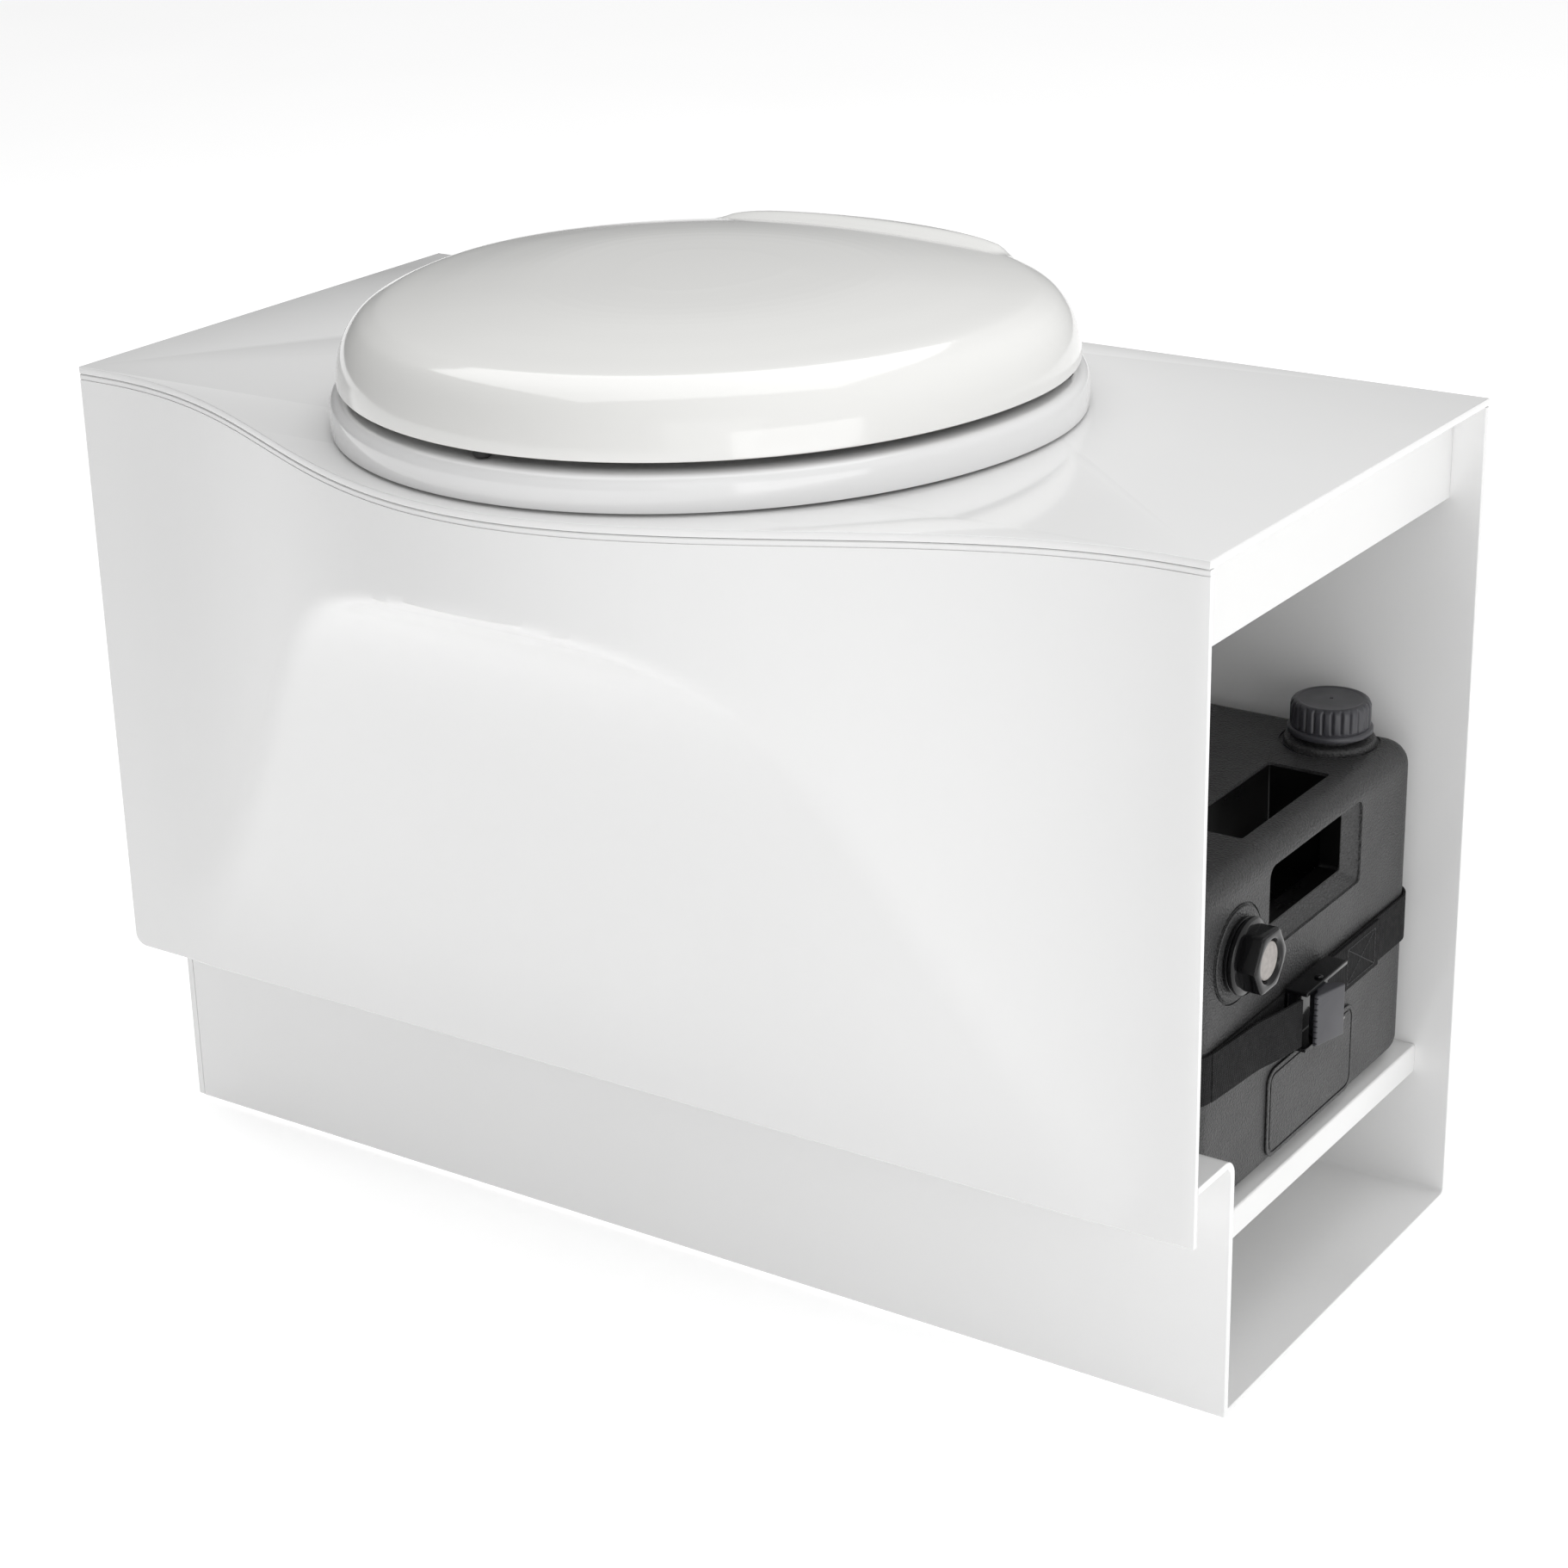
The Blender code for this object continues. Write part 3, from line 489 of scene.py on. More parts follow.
def small_looks():
    """The stitching, the filter, the metal and the floor."""
    looks = {}
    thread = Look("stitch_thread", (0.030, 0.030, 0.032), 0.6).tint(900, 0.2).smudge(900, 0.5, 0.7)
    looks["stitch_thread"] = thread.bump(thread.noise(3500, 3), 0.4, 0.0001).material
    mesh = Look("filter_grey", (0.46, 0.43, 0.41), 0.6).tint(400, 0.12).smudge(300, 0.5, 0.7)
    mesh.bump(mesh.weave(1400, 1400), 0.8, 0.0002)
    looks["filter_grey"] = mesh.material
    steel = Look("steel", (0.60, 0.60, 0.61), 0.28, 1.0).tint(60, 0.05).smudge(120, 0.22, 0.34)
    steel.bump(steel.noise(800, 5), 0.08, 0.0001)
    looks["steel"] = steel.material
    ground = Look("studio_floor", (0.95, 0.95, 0.95), 0.6).tint(1.5, 0.004).smudge(2, 0.55, 0.65)
    ground.shader.inputs["Emission Color"].default_value = (1, 1, 1, 1)
    ground.shader.inputs["Emission Strength"].default_value = FLOOR_GLOW
    looks["studio_floor"] = ground.material
    return looks


LOOKS = {**pale_looks(), **dark_looks(), **small_looks()}


# Body panels


def bulge(x):
    """How far the plate's front edge stands out."""
    if abs(x) >= BULGE_REACH:
        return 0.0
    return BULGE / 2 * (1 + math.cos(math.pi * x / BULGE_REACH))


def leg_room(z):
    """How far the drawn-in lower part of the front panel stands out at a height."""
    slope = LEG_SLOPE * LEG_BLEND * math.log(1 + math.exp((z - LEG_FOOT) / LEG_BLEND))
    brow = BROW_REACH * math.exp(min(4.0, (z - BROW_HEIGHT) / BROW_FADE))
    return slope + brow


def front_stand(x, z):
    """The lesser of the bulge and the leg room, with a soft crease between them."""
    a, b = bulge(x), leg_room(z)
    mix = min(1.0, max(0.0, 0.5 + 0.5 * (b - a) / CREASE))
    crease = CREASE * mix * (1 - mix)
    return max(0.0, b + (a - b) * mix - crease)


def top_plate():
    count = 220
    xs = [-RIGHT + LENGTH * i / count for i in range(count + 1)]
    front = [(x, -BACK - bulge(x)) for x in xs]
    outline = [*front, (RIGHT, BACK), (-RIGHT, BACK)]
    holes = [egg((0, HOLE_CENTRE), 0.1255, 0.1475, 0.1475, 96), circle(VALVE_AXIS, 0.011, 32)]
    holes += [circle((x, HINGE[1]), 0.0033, 16) for x in (-0.035, 0.035)]
    shape = slab(outline, PLATE_LOW, TOP, 0.0005, holes=holes)
    piece("top_plate_sheet", shape, LOOKS["white_panel"], "toilet", ["top_plate"])


def front_panel():
    """The bulged sheet with its leg-room crease and a fine joint line just under the plate."""
    columns, rows, edge, corner = 200, 90, 0.0005, 0.007
    high = PANEL[1].z
    joint = TOP - 0.0070
    loops = []
    near_end = [corner * (1 - math.cos(math.radians(10 * k))) for k in range(9)]
    stations = [-RIGHT + d for d in near_end]
    stations += [-RIGHT + corner + (LENGTH - corner) * i / columns for i in range(columns + 1)]
    for x in stations:
        trim = edge if x in (stations[0], stations[-1]) else 0.0
        inward = max(0.0, corner - (x + RIGHT))
        low = PANEL[0].z + corner - math.sqrt(max(0.0, corner**2 - inward**2))
        heights = [low + edge + (joint - 0.002 - low) * k / rows for k in range(rows + 1)]
        heights += [joint - 0.0007, joint - 0.0003, joint - 0.0002, joint + 0.0002, joint + 0.0003]
        heights += [joint + 0.0007, high - edge]
        face = []
        for z in heights:
            groove = 0.0006 if abs(z - joint) < 0.00025 else 0.0
            face.append((x, -BACK - front_stand(x, z) + trim + groove, z))
        inside = [(x, y + SHEET - 2 * trim, z) for (x, y, z) in reversed(face)]
        near, far = face[-1][1], face[-1][1] + SHEET
        cap = [(x, near + edge, high), (x, far - edge, high)]
        near, far = face[0][1], face[0][1] + SHEET
        foot = [(x, far - edge, low), (x, near + edge, low)]
        loops.append(face + cap + inside + foot)
    shape = loft(loops)
    piece("front_panel_sheet", shape, LOOKS["white_panel"], "toilet", ["front_panel"], 30)


def base_shell():
    bend = 0.006
    front = SHELL[0].y
    high = SHELL[1].z
    outline = [
        (front, SHELF_LOW),
        (PLINTH_FRONT, SHELF_LOW),
        (PLINTH_FRONT, 0),
        (BACK, 0),
        (BACK, high),
        (BACK - SHEET, high),
        (BACK - SHEET, SHEET),
        (PLINTH_FRONT + SHEET, SHEET),
        (PLINTH_FRONT + SHEET, SHELF_LOW + SHEET),
        (front, SHELF_LOW + SHEET),
    ]
    radii = [0, bend, 0.0015, 0.005, 0, 0, 0.003, 0.001, bend + SHEET, 0]
    shape = slab(fillet(outline, radii, 8), SHELL[0].x, SHELL[1].x, 0.0005, "X")
    piece("base_shell_sheet", shape, LOOKS["white_panel"], "toilet", ["base_shell"])


def side_panel():
    low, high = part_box("left_side_panel")
    outline = [
        (low.y, high.z),
        (low.y, SHELF_LOW),
        (PLINTH_FRONT, SHELF_LOW),
        (PLINTH_FRONT, 0),
        (BACK, 0),
        (BACK, high.z),
    ]
    shape = slab(fillet(outline, [0, 0.002, 0, 0.002, 0.005, 0]), low.x, high.x, 0.0005, "X")
    piece("left_side_sheet", shape, LOOKS["white_panel"], "toilet", ["left_side_panel"])


def tank_floor():
    low, high = FLOOR
    profile = [
        (low.x, high.z - SHEET),
        (high.x - SHEET, high.z - SHEET),
        (high.x - SHEET, low.z),
        (high.x, low.z),
        (high.x, high.z),
        (low.x, high.z),
    ]
    shape = slab(fillet(profile, [0, 0.0005, 0, 0, 0.0012, 0], 4), low.y, high.y, 0.0004, "Y")
    piece("tank_floor_sheet", shape, LOOKS["white_inner"], "toilet", ["tank_floor"])


def header_rail():
    low, high = HEADER
    shape = slab(rectangle((low.x, high.x), (low.z, high.z)), low.y, high.y, 0.0005, "Y")
    piece("header_rail_sheet", shape, LOOKS["white_inner"], "toilet", ["header_rail"])


# Bowl


def bowl_loop(z, blend, grow=0.0):
    rim = egg((0, HOLE_CENTRE), 0.121 + grow, 0.143 + grow, 0.143 + grow, 96)
    outlet = circle(OUTLET, 0.038 + grow, 96)
    return [(a[0] + blend * (b[0] - a[0]), a[1] + blend * (b[1] - a[1]), z) for a, b in zip(rim, outlet)]


def bowl():
    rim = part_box("bowl")[1].z
    stations = [(0.4500, 0.0), (0.430, 0.03), (0.395, 0.12), (0.355, 0.28), (0.320, 0.50), (0.295, 0.76)]
    stations += [(0.282, 0.97), (OUTLET_LOW, 1.0)]
    levels = smooth_curve(stations, 4)
    edge = 0.001
    inside = [bowl_loop(rim, 0.0, edge), bowl_loop(rim - edge, 0.0)]
    inside += [bowl_loop(z, min(1.0, blend)) for z, blend in levels]
    outside = [bowl_loop(z, min(1.0, blend), BOWL_WALL) for z, blend in levels]
    flange_low = TOP + 0.0016
    flange = [
        bowl_loop(flange_low, 0.0, BOWL_WALL),
        bowl_loop(flange_low, 0.0, 0.0125),
        bowl_loop(flange_low + 0.0005, 0.0, 0.013),
        bowl_loop(rim - 0.0005, 0.0, 0.013),
        bowl_loop(rim, 0.0, 0.0125),
    ]
    shape = loft([*inside, *outside[::-1], *flange], ring=True)
    piece("bowl_moulding", shape, LOOKS["bowl_white"], "toilet", ["bowl"])


# Seat and lid


def relieved(point, low):
    x, y = point
    return (x, y, low + max(0.0, y - 0.114) * 0.2)


SEAT_ROUND = (
    (0.0, 0.4600),
    (0.0002, 0.4632),
    (0.0012, 0.4662),
    (0.0034, 0.4682),
    (0.0070, 0.4692),
    (0.0130, 0.4695),
)


def knuckle(sign):
    """One of the seat's two hinge eyes, upright and round over the pin."""
    xs = sorted((sign * KNUCKLE_FROM, sign * KNUCKLE_TO))
    turns = [math.pi * k / 20 for k in range(21)]
    y, z = HINGE[1:]
    arc = [(y + KNUCKLE_RADIUS * math.cos(t), z + KNUCKLE_RADIUS * math.sin(t)) for t in turns]
    foot = [(y - KNUCKLE_RADIUS, 0.460), (y + KNUCKLE_RADIUS, 0.460)]
    return slab([*foot, *arc], *xs, 0.0006, "X")


def seat_ring():
    hole = (0, HOLE_CENTRE)
    loops = [
        [relieved(p, 0.4513) for p in seat_outline(0.0090)],
        [relieved(p, 0.4513) for p in seat_outline(0.0010)],
        [relieved(p, 0.4516) for p in seat_outline(0.0003)],
        [relieved(p, 0.4524) for p in seat_outline(0.0)],
    ]
    loops += [at_height(seat_outline(inset), z) for inset, z in smooth_curve(SEAT_ROUND, 3)]
    inner = [(0.0300, 0.4694), (0.0180, 0.4689), (0.0095, 0.4678), (0.0045, 0.4660), (0.0012, 0.4636)]
    inner += [(0.0, 0.4605), (0.0006, 0.4580), (0.0018, 0.4570)]
    for grow, z in smooth_curve(inner, 3):
        loops.append(at_height(egg(hole, 0.112 + grow, 0.135 + grow, 0.135 + grow), z))
    loops.append([relieved(p, 0.4570) for p in seat_outline(0.010)])
    made = piece("seat_moulding", loft(loops, ring=True), LOOKS["white_seat"])
    notch = slab(rectangle((-KNUCKLE_FROM, KNUCKLE_FROM), (NOTCH_FRONT, 0.16)), 0.44, 0.50)
    carve(made, [notch])
    carve(made, [knuckle(-1), knuckle(1)], "UNION")
    bore = turned(HINGE[1:], [(BORE_RADIUS, -0.1), (BORE_RADIUS, 0.1)], "X", 24)
    carve(made, [bore])
    finish_piece(made, "seat", ["seat_ring"])


def finish_piece(made, body, nodes):
    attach(made, body)
    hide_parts(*nodes)


LID_SIDE = (
    (0.0056, 0.4740),
    (0.0046, 0.4746),
    (0.0044, 0.4758),
    (0.0050, 0.4820),
    (0.0070, 0.4900),
    (0.0105, 0.4970),
    (0.0160, 0.5030),
    (0.0230, 0.5068),
    (0.0300, 0.5090),
    (0.0450, 0.5115),
    (0.0700, 0.5148),
    (0.1050, 0.5178),
    (0.1500, 0.5190),
)


def ease(value, start, end):
    """Rise smoothly from 0 at start to 1 at end."""
    t = min(1.0, max(0.0, (value - start) / (end - start)))
    return t * t * (3 - 2 * t)


def with_ridge(point, z):
    """Raise the lid's rear, over the hinge, by a low step with a hollow foot."""
    x, y = point
    across = 1 - ease(abs(x), RIDGE_HALF - 0.006, RIDGE_HALF + 0.006)
    foot = 0.0007 * ease(y, RIDGE_FRONT - 0.003, RIDGE_FRONT)
    foot = foot * (1 - ease(y, RIDGE_FRONT, RIDGE_FRONT + 0.004))
    rise = RIDGE_RISE * ease(y, RIDGE_FRONT, RIDGE_FRONT + 0.016)
    over = ease(z, 0.500, 0.507)
    return (x, y, z + over * across * (rise - foot))


def lid_shell():
    side = smooth_curve(LID_SIDE, 5)
    top = []
    for a, b in zip(side[40:], side[41:]):
        parts = max(1, round((b[0] - a[0]) / 0.0016))
        top += [(a[0] + (b[0] - a[0]) * k / parts, a[1] + (b[1] - a[1]) * k / parts) for k in range(parts)]
    profile = [*side[:40], *top, side[-1]]
    outer = [[with_ridge(p, z) for p in seat_outline(i, 320)] for i, z in profile]
    made = piece("lid_moulding", loft(outer), LOOKS["cream_lid"])
    inner = [at_height(seat_outline(LID_SIDE[0][0] + LID_WALL), 0.470)]
    inner += [at_height(seat_outline(i + LID_WALL), z - 0.001) for i, z in LID_SIDE[3:7]]
    inner += [at_height(seat_outline(i + LID_WALL), z - LID_WALL) for i, z in LID_SIDE[7:]]
    hollow = piece("hollow", loft(inner), LOOKS["cream_lid"])
    keep = slab(rectangle((-LUG_END - 0.003, LUG_END + 0.003), (NOTCH_FRONT - LID_WALL, 0.16)), 0.46, 0.53)
    carve(hollow, [keep])
    room = bmesh.new()
    room.from_mesh(hollow.data)
    bpy.data.objects.remove(hollow, do_unlink=True)
    corner = fillet(rectangle((-NOTCH_HALF, NOTCH_HALF), (NOTCH_FRONT, 0.17)), [0.006, 0.006, 0, 0])
    notch = slab(corner, 0.46, 0.53)
    bore = turned(HINGE[1:], [(BORE_RADIUS, -LUG_END), (BORE_RADIUS, LUG_END)], "X", 24)
    carve(made, [room, notch, bore])
    finish_piece(made, "lid", ["lid_shell"])


# Waste tank


def tank_form():
    """The tank's outside: a box with rounded corners and edges."""
    edge, corner = 0.012, 0.0155
    low, high = TANK_Z
    turns = [math.radians(90 * k / 8) for k in range(9)]
    bottom = [(low + edge * (1 - math.sin(t)), edge * (1 - math.cos(t))) for t in reversed(turns)]
    top = [(high - edge * (1 - math.sin(t)), edge * (1 - math.cos(t))) for t in turns]
    loops = []
    for z, inset in [*bottom, *top]:
        xs = (TANK_X[0] + inset, TANK_X[1] - inset)
        ys = (TANK_Y[0] + inset, TANK_Y[1] - inset)
        loops.append(at_height(fillet(rectangle(xs, ys), max(0.0035, corner - inset), 8), z))
    return loft(loops)


def tapered(lower, upper, low, high, radius=0.003):
    """A block whose rounded outline changes from lower to upper."""
    loops = []
    for shape, z in ((lower, low), (upper, high)):
        loops.append(at_height(fillet(rectangle(*shape), radius, 4), z))
    return loft(loops)


def grip_hole():
    """The front hand hole: a straight hole with a wide splayed edge."""
    shapes = (
        ((-0.0300, 0.0620), (0.2200, 0.2520), 0.2650, 0.0030),
        ((-0.0300, 0.0620), (0.2200, 0.2520), 0.3066, 0.0030),
        ((-0.0308, 0.0716), (0.2130, 0.2558), 0.3108, 0.0052),
        ((-0.0312, 0.0722), (0.2124, 0.2563), 0.3114, 0.0055),
        ((-0.0317, 0.0728), (0.2118, 0.2567), 0.3116, 0.0057),
        ((-0.0320, 0.0732), (0.2114, 0.2570), 0.3132, 0.0060),
        ((-0.0320, 0.0732), (0.2114, 0.2570), 0.3300, 0.0060),
    )
    loops = []
    for ys, zs, x, corner in shapes:
        loops.append(at_reach(fillet(rectangle(ys, zs), [0.0022, 0.0022, corner, corner], 5), x))
    return loft(loops)


def parting_line():
    """The mould's fine parting line, a shallow groove along the top of the end face."""
    path = [(0.3131, -0.0900, 0.2583), (0.3132, -0.0500, 0.2584), (0.3132, 0.0700, 0.2584)]
    return tube_along(path, 0.00035, 6)


def ring_cutter(centre, radii, span, axis="Z"):
    """A round groove: between two radii, over a span along its axis."""
    inner, outer = radii
    low, high = span
    return turned(centre, [(inner, low), (inner, high), (outer, high), (outer, low)], axis, ring=True)


def tank_shell():
    made = piece("tank_moulding", tank_form(), LOOKS["grained_black"])
    step_x, step_z, wall = 0.072, 0.250, 0.004
    boss = [(0.0240, 0.262), (0.0240, 0.2694), (0.0236, 0.2704), (0.0226, 0.2710)]
    boss = turned(POUR, [*boss, (0.0165, 0.2710), (0.0165, 0.2840)])
    pad = turned(VENT, [(0.0240, 0.306), (0.0240, 0.3138), (0.0236, 0.3142)], "X")
    carve(made, [boss, pad], "UNION")
    groove = ring_cutter(VENT, (0.0246, 0.0256), (0.3122, 0.3200), "X")
    ring = ring_cutter(POUR, (0.0247, 0.0262), (0.2672, 0.275))
    step = slab(rectangle((-0.25, step_x), (-0.2, 0.2)), step_z, 0.3)
    inlet = turned(OUTLET, [(0.037, 0.240), (0.037, 0.256)])
    pour = turned(POUR, [(0.014, 0.255), (0.014, 0.290)])
    seam = parting_line()
    vent = turned(VENT, [(0.0147, 0.300), (0.0147, 0.320)], "X")
    lower, upper = ((0.2640, 0.2960), (-0.026, 0.066)), ((0.2610, 0.2960), (-0.030, 0.070))
    recess = tapered(lower, upper, 0.213, 0.281, 0.0012)
    inside = hollow_form(step_x, step_z, wall)
    carve(made, [groove, ring, step, inside, inlet, pour, vent, recess, grip_hole(), seam])
    soften(made, 0.0007, 2, 40)
    finish_piece(made, "cassette", ["tank_shell"])


def recess_shade_lining():
    """A smooth near-black sheet just inside the walls of the hand recess, from the top opening through to
    the front hole: painted shade, much darker than the tank's own black.
    """
    lower, upper = ((0.2641, 0.2959), (-0.0259, 0.0659)), ((0.2611, 0.2959), (-0.0299, 0.0699))
    made = piece("recess_shade_lining", tapered(lower, upper, 0.2131, 0.2665, 0.0012), LOOKS["recess_painted_shade"])
    lower, upper = ((0.2645, 0.2955), (-0.0255, 0.0655)), ((0.2615, 0.2955), (-0.0295, 0.0695))
    room = tapered(lower, upper, 0.2135, 0.2800, 0.0010)
    ys, zs = (-0.0298, 0.0618), (0.2202, 0.2518)
    way = slab(fillet(rectangle(ys, zs), 0.0028, 5), 0.2800, 0.3200, 0.0, "X")
    carve(made, [room, way])
    finish_piece(made, "cassette", ())
    # A second near-black sleeve lines the front grip hole: painted shade.
    sleeve = slab(fillet(rectangle(ys, zs), 0.0028, 5), 0.2956, 0.3065, 0.0, "X")
    made = piece("grip_shade_lining", sleeve, LOOKS["recess_painted_shade"])
    way = inset_outline(fillet(rectangle(ys, zs), 0.0028, 5), 0.0004)
    carve(made, [slab(way, 0.2900, 0.3200, 0.0, "X")])
    finish_piece(made, "cassette", ())


def hollow_form(step_x, step_z, wall):
    """The space inside the tank, low under the step and clear of the hand recess."""
    low, high = TANK_Z[0] + wall, TANK_Z[1] - wall
    xs = (TANK_X[0] + wall, TANK_X[1] - wall)
    ys = (TANK_Y[0] + wall, TANK_Y[1] - wall)
    made = piece("hollow", slab(rectangle(xs, ys), low, high, 0.002), LOOKS["grained_black"])
    under_step = slab(rectangle((-0.25, step_x + wall), (-0.2, 0.2)), step_z - wall, 0.3)
    recess = slab(rectangle((0.257, 0.33), (-0.037, 0.079)), 0.205, 0.3)
    carve(made, [under_step, recess])
    bm = bmesh.new()
    bm.from_mesh(made.data)
    bpy.data.objects.remove(made, do_unlink=True)
    return bm


def badge():
    """A blank raised label field with a fine grooved border."""
    low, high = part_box("badge_panel")
    outline = fillet(rectangle((low.y, high.y), (low.z, high.z)), 0.008, 8)
    made = piece("badge_field", slab(outline, low.x, high.x, 0.0004, "X"), LOOKS["grained_black"])
    outer = inset_outline(outline, 0.0022)
    groove = slab(outer, high.x - 0.0006, high.x + 0.002, 0.0, "X", [inset_outline(outline, 0.0034)], 1)
    carve(made, [groove])
    finish_piece(made, "cassette", ["badge_panel"])


def pour_cap():
    """A screw cap: ribbed wall, rounded crown with a small dimple, plain skirt ring below a groove."""
    ribs, per_rib = 26, 10
    count = ribs * per_rib
    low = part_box("pour_cap")[0].z
    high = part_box("pour_cap")[1].z

    def loop(radius, z, depth=0.0):
        points = []
        for i in range(count):
            turn = 2 * math.pi * i / count
            phase = (i % per_rib) / per_rib
            dent = depth * max(0.0, math.cos(2 * math.pi * (phase - 0.5))) ** 2
            x = POUR[0] + (radius - dent) * math.cos(turn)
            y = POUR[1] + (radius - dent) * math.sin(turn)
            points.append((x, y, z))
        return points

    inside = [(0.0060, high - 0.0032), (0.0172, high - 0.0032), (0.0172, low)]
    skirt = [(0.0214, low), (0.0221, low + 0.0005), (0.0222, low + 0.0012), (0.0222, low + 0.0026)]
    skirt += [(0.0218, low + 0.0032), (0.0206, low + 0.0036), (0.0206, low + 0.0040)]
    loops = [loop(r, z) for r, z in [*inside, *skirt]]
    wall = [(0.0208, low + 0.0043, 0.0), (0.0209, low + 0.0050, 0.0013), (0.0208, high - 0.0030, 0.0013)]
    wall += [(0.0204, high - 0.0020, 0.0010), (0.0198, high - 0.0010, 0.0004)]
    loops += [loop(*row) for row in wall]
    crown = [(0.0188, high - 0.0004), (0.0172, high - 0.0002), (0.0166, high - 0.0005)]
    crown += [(0.0160, high - 0.0006), (0.0060, high - 0.0004), (0.0012, high - 0.0004)]
    crown += [(0.0010, high - 0.0010), (0.0004, high - 0.0012)]
    loops += [loop(r, z) for r, z in crown]
    piece("pour_cap_moulding", loft(loops), LOOKS["cap_grey"], "cap", ["pour_cap"], 45)


def hexagon(centre, across, per_side, round_share=0.12):
    """A hexagon with soft corners, evenly pointed so that it can meet a circle."""
    return fillet(circle(centre, across / math.sqrt(3), 6), across * round_share, per_side - 1)


def vent_plug():
    """The screwed plug: washer, threaded collar, six-sided head and a cup that holds the filter."""
    per_side = 8
    count = 6 * per_side

    def ring(radius):
        start = math.radians(-0.5 * 360 / 6)
        turns = (start + 2 * math.pi * (i + 0.5) / count for i in range(count))
        return [(VENT[0] + radius * math.cos(a), VENT[1] + radius * math.sin(a)) for a in turns]

    def head(across):
        return hexagon(VENT, across, per_side)

    shape = [
        (ring(0.0060), 0.2980), (ring(0.0125), 0.2980), (ring(0.0125), 0.3146), (ring(0.0186), 0.3146),
        (ring(0.0190), 0.3149), (ring(0.0190), 0.3162), (ring(0.0186), 0.3166), (ring(0.0182), 0.3168),
        (ring(0.0184), 0.3172), (ring(0.0195), 0.3176), (ring(0.0195), 0.3192), (ring(0.0190), 0.3198),
        (ring(0.0172), 0.3202), (head(0.0296), 0.3206), (head(0.0300), 0.3212), (head(0.0300), 0.3296),
        (head(0.0296), 0.3304), (head(0.0284), 0.3309), (ring(0.0122), 0.3310), (ring(0.0116), 0.3308),
        (ring(0.0110), 0.3300), (ring(0.0100), 0.3280), (ring(0.0060), 0.3280),
    ]
    loops = [at_reach(outline, x) for outline, x in shape]
    body = loft(loops, ring=True)
    piece("vent_plug_moulding", body, LOOKS["gloss_black"], "vent", ["vent_plug"])
    low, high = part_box("vent_mesh")
    disc = [(0.0006, low.x), (0.0092, low.x), (0.0097, low.x + 0.0003), (0.0097, high.x - 0.0003)]
    disc += [(0.0094, high.x), (0.0050, high.x + 0.0002), (0.0006, high.x + 0.0003)]
    disc = turned(VENT, disc, "X", 48)
    piece("vent_filter", disc, LOOKS["filter_grey"], "vent", ["vent_mesh"])


# Strap and buckle


def strap_band():
    low, high = STRAP_Z
    inner, outer = 0.0005, 0.0021
    section = fillet(rectangle((inner, outer), (low, high)), 0.0006, 3)
    loops = []
    for grow, z in section:
        xs = (TANK_X[0] - grow, TANK_X[1] + grow)
        ys = (TANK_Y[0] - grow, TANK_Y[1] + grow)
        loops.append(at_height(fillet(rectangle(xs, ys), 0.0155 + grow, 10), z))
    piece("strap_webbing", loft(loops, ring=True), LOOKS["webbing"], "cassette", ["strap_band"])


def ribbon(path, thick, zs):
    """A strip of webbing that stands on edge along a path in plan."""
    curve = smooth_curve(path, 8)
    outer = []
    for i, (x, y) in enumerate(curve):
        a, b = Vector(curve[max(0, i - 1)]), Vector(curve[min(len(curve) - 1, i + 1)])
        run = (b - a).normalized()
        outer.append((x + run.y * thick, y - run.x * thick))
    return slab(curve + outer[::-1], *zs, 0.0004)


def strap_tail():
    low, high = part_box("strap_tail")
    path = [(low.x - 0.0015, -0.0930), (low.x - 0.0008, -0.0850), (low.x + 0.0004, -0.070)]
    path += [(0.3175, -0.050), (0.3212, -0.033), (0.3240, -0.016)]
    shape = ribbon(path, 0.0015, STRAP_Z)
    piece("strap_tail_webbing", shape, LOOKS["webbing"], "cassette", ["strap_tail"])
    face = TANK_FACE + 0.0024
    sewn = ribbon([(face, 0.0310), (face, 0.055), (face, 0.078), (face, 0.0920)], 0.0013, STRAP_Z)
    piece("strap_sewn_end", sewn, LOOKS["webbing"], "cassette", ())
    stitches(face + 0.0014)


def stitches(x):
    """The sewn box and cross that hold the strap's folded end."""
    ys, zs = (0.054, 0.087), (STRAP_Z[0] + 0.0030, STRAP_Z[1] - 0.0030)
    corners = [(ys[0], zs[0]), (ys[1], zs[0]), (ys[1], zs[1]), (ys[0], zs[1])]
    runs = [(corners[i], corners[(i + 1) % 4]) for i in range(4)]
    runs += [(corners[0], corners[2]), (corners[1], corners[3])]
    pitch = 0.0026
    bm = bmesh.new()
    for a, b in runs:
        a, b = Vector(a), Vector(b)
        count = max(2, round((b - a).length / pitch))
        for k in range(count):
            start = a.lerp(b, (k + 0.12) / count)
            end = a.lerp(b, (k + 0.88) / count)
            path = []
            for t in range(5):
                at = start.lerp(end, t / 4)
                path.append((x - 0.00025 + 0.00035 * math.sin(math.pi * t / 4), at.x, at.y))
            stitch = tube_along(path, 0.00028, 6)
            mesh = bpy.data.meshes.new("stitch")
            stitch.to_mesh(mesh)
            stitch.free()
            bm.from_mesh(mesh)
            bpy.data.meshes.remove(mesh)
    piece("strap_stitching", bm, LOOKS["stitch_thread"], "cassette", ())


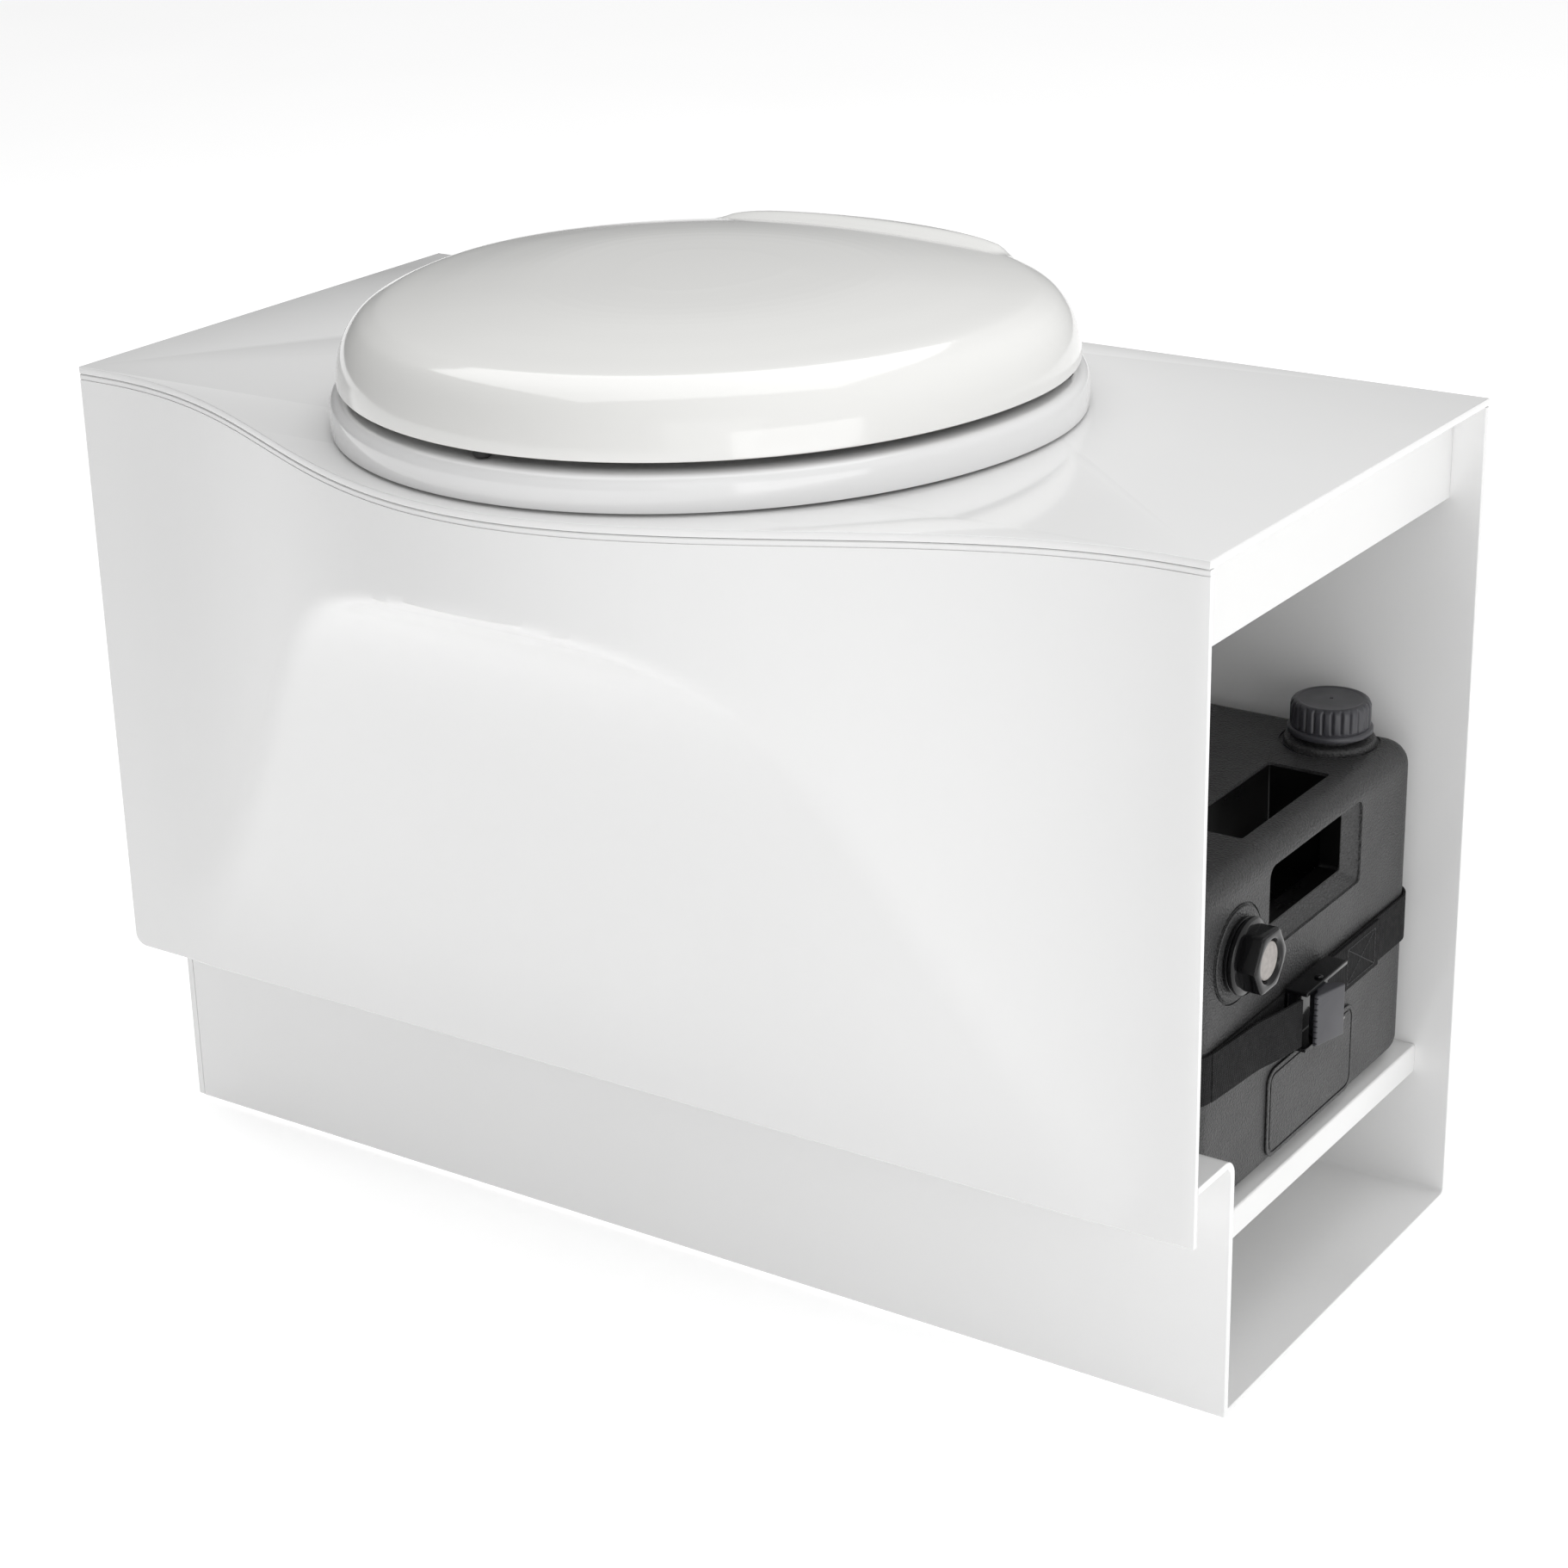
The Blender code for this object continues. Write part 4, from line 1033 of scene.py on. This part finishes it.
def buckle():
    low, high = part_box("buckle_frame")
    web, cheek = 0.0018, 0.0022
    profile = [
        (low.x, low.z),
        (high.x, low.z),
        (high.x, low.z + cheek),
        (low.x + web, low.z + cheek),
        (low.x + web, high.z - cheek),
        (high.x, high.z - cheek),
        (high.x, high.z),
        (low.x, high.z),
    ]
    made = piece("buckle_channel", slab(profile, low.y, high.y, 0.0004, "Y"), LOOKS["gloss_black"])
    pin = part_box("buckle_pin")
    centre = ((pin[0].x + pin[1].x) / 2, (pin[0].y + pin[1].y) / 2)
    bore = turned(centre, [(0.0016, low.z - 0.01), (0.0016, high.z + 0.01)], "Z", 24)
    past = high.x + 0.01
    slope = [(high.x - 0.0065, high.y + 0.01), (past, high.y + 0.01), (past, high.y - 0.014)]
    corner = slab(slope, low.z - 0.01, high.z + 0.01, 0.0)
    carve(made, [bore, corner])
    soften(made, 0.0004, 2)
    finish_piece(made, "cassette", ["buckle_frame"])
    head = [(0.0022, high.z + 0.0002), (0.0022, high.z + 0.0008)]
    head += [(0.0018, high.z + 0.0012), (0.0006, high.z + 0.0014)]
    head = turned(centre, head, "Z", 32)
    piece("buckle_rivet_head", head, LOOKS["gloss_black"], "cassette", ())
    lever(centre)


def lever(centre):
    """The toothed cam lever, with a ribbed thumb plate."""
    low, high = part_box("buckle_lever")
    px, py = centre
    outline = [
        (px - 0.0030, py + 0.0030),
        (px - 0.0040, py - 0.0010),
        (px - 0.0020, py - 0.0045),
        (px + 0.0040, py - 0.0100),
        (px + 0.0050, py - 0.0155),
        (px + 0.0070, py - 0.0155),
        (px + 0.0122, py + 0.0050),
        (px + 0.0100, py + 0.0060),
        (px + 0.0040, py + 0.0020),
    ]
    radii = [0.002, 0.002, 0.002, 0.002, 0.0005, 0.0008, 0.0008, 0.0008, 0.003]
    eye = circle(centre, 0.0016, 24)
    shape = slab(fillet(outline, radii, 4), low.z, high.z, 0.0006, holes=[eye])
    made = piece("buckle_thumb_lever", shape, LOOKS["cap_grey"])
    notches = []
    teeth = 9
    for k in range(teeth):
        z = low.z + (high.z - low.z) * (k + 0.5) / teeth
        dent = [(py - 0.0175, z - 0.0009), (py - 0.0145, z), (py - 0.0175, z + 0.0009)]
        notches.append(slab(dent, px + 0.002, px + 0.010, 0.0, "X"))
    carve(made, notches)
    finish_piece(made, "lever", ["buckle_lever"])


# Carried-over parts


CARRIED = {
    "white_seat": ["hinge_block"],
    "steel": [
        "hinge_pin", "hinge_stud_left", "hinge_stud_right", "valve_shaft", "shaft_clip", "buckle_pin",
    ],
    "grained_black": ["wing_nut_left", "wing_nut_right", "shaft_bush", "valve_housing"],
    "gloss_black": ["valve_blade"],
    "cap_grey": ["valve_knob"],
    "rubber_black": [
        "bowl_rim_seal", "bowl_outlet_seal", "inlet_seal", "cap_gasket", "vent_o_ring",
        "seat_bumper_front_left", "seat_bumper_front_right", "seat_bumper_rear_left",
        "seat_bumper_rear_right", "lid_bumper_front", "lid_bumper_left", "lid_bumper_right",
    ],
}


def dress_carried_parts():
    for look, names in CARRIED.items():
        for name in names:
            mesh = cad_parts[name].data
            mesh.materials.clear()
            mesh.materials.append(LOOKS[look])


# Studio


LIGHTS = (
    ("overhead", (-0.3, 0.3, 2.4), (0, 0, 0.3), (2.4, 2.4), 28),
    ("front", (1.0, -1.1, 0.75), (0.25, -0.1, 0.25), (0.7, 0.9), 0.9),
    ("service_end", (1.7, -0.75, 0.42), (0.3, 0.1, 0.2), (1.2, 0.9), 5.2),
)


def area_light(name, place, target, size, power):
    data = bpy.data.lights.new(name, "AREA")
    data.shape = "RECTANGLE"
    data.size, data.size_y = size
    data.energy = power
    lamp = bpy.data.objects.new(name, data)
    lamp.location = place
    lamp.rotation_euler = (Vector(target) - Vector(place)).to_track_quat("-Z", "Y").to_euler()
    bpy.context.scene.collection.objects.link(lamp)


def sky():
    """An even white room, brighter overhead and towards the right and the back."""
    world = bpy.data.worlds.new("studio")
    world.use_nodes = True
    nodes, links = world.node_tree.nodes, world.node_tree.links
    nodes["Background"].inputs["Color"].default_value = (1, 1, 1, 1)
    place = nodes.new("ShaderNodeTexCoord")
    aim = nodes.new("ShaderNodeVectorMath")
    aim.operation = "DOT_PRODUCT"
    aim.inputs[1].default_value = Vector(ROOM_BRIGHT_SIDE).normalized() * ROOM_LEAN
    links.new(place.outputs["Generated"], aim.inputs[0])
    level = nodes.new("ShaderNodeMath")
    level.operation = "ADD"
    level.inputs[1].default_value = ROOM_LEVEL
    links.new(aim.outputs["Value"], level.inputs[0])
    dimmest = nodes.new("ShaderNodeMath")
    dimmest.operation = "MAXIMUM"
    dimmest.inputs[1].default_value = ROOM_DIMMEST
    links.new(level.outputs["Value"], dimmest.inputs[0])
    links.new(dimmest.outputs["Value"], nodes["Background"].inputs["Strength"])
    bpy.context.scene.world = world


def studio():
    bpy.context.scene.view_settings.view_transform = "Standard"
    sky()
    reach = 6.0
    ground = slab(fillet(rectangle((-reach, reach), (-reach, reach)), 1.0), -0.012, -0.002, 0.001)
    piece("studio_ground", ground, LOOKS["studio_floor"])
    for light in LIGHTS:
        area_light(*light)


def camera():
    """A long lens, a little above the seat, turned towards the service end."""
    azimuth, elevation, roll = (math.radians(a) for a in CAMERA_ANGLES)
    back = Vector((
        math.sin(azimuth) * math.cos(elevation),
        -math.cos(azimuth) * math.cos(elevation),
        math.sin(elevation),
    ))
    side = Vector((math.cos(azimuth), math.sin(azimuth), 0))
    up = back.cross(side)
    right = side * math.cos(roll) + up * math.sin(roll)
    above = up * math.cos(roll) - side * math.sin(roll)
    data = bpy.data.cameras.new("camera")
    data.lens = CAMERA_LENS
    data.sensor_width = 36
    data.clip_start, data.clip_end = 0.05, 50
    made = bpy.data.objects.new("camera", data)
    turn = Matrix((right, above, back)).transposed().to_4x4()
    made.matrix_world = Matrix.Translation(CAMERA_PLACE) @ turn
    bpy.context.scene.collection.objects.link(made)
    bpy.context.scene.camera = made


def build():
    top_plate()
    front_panel()
    base_shell()
    side_panel()
    tank_floor()
    header_rail()
    bowl()
    seat_ring()
    lid_shell()
    tank_shell()
    recess_shade_lining()
    badge()
    pour_cap()
    vent_plug()
    strap_band()
    strap_tail()
    buckle()
    dress_carried_parts()
    studio()
    camera()


build()

bpy.context.view_layer.update()
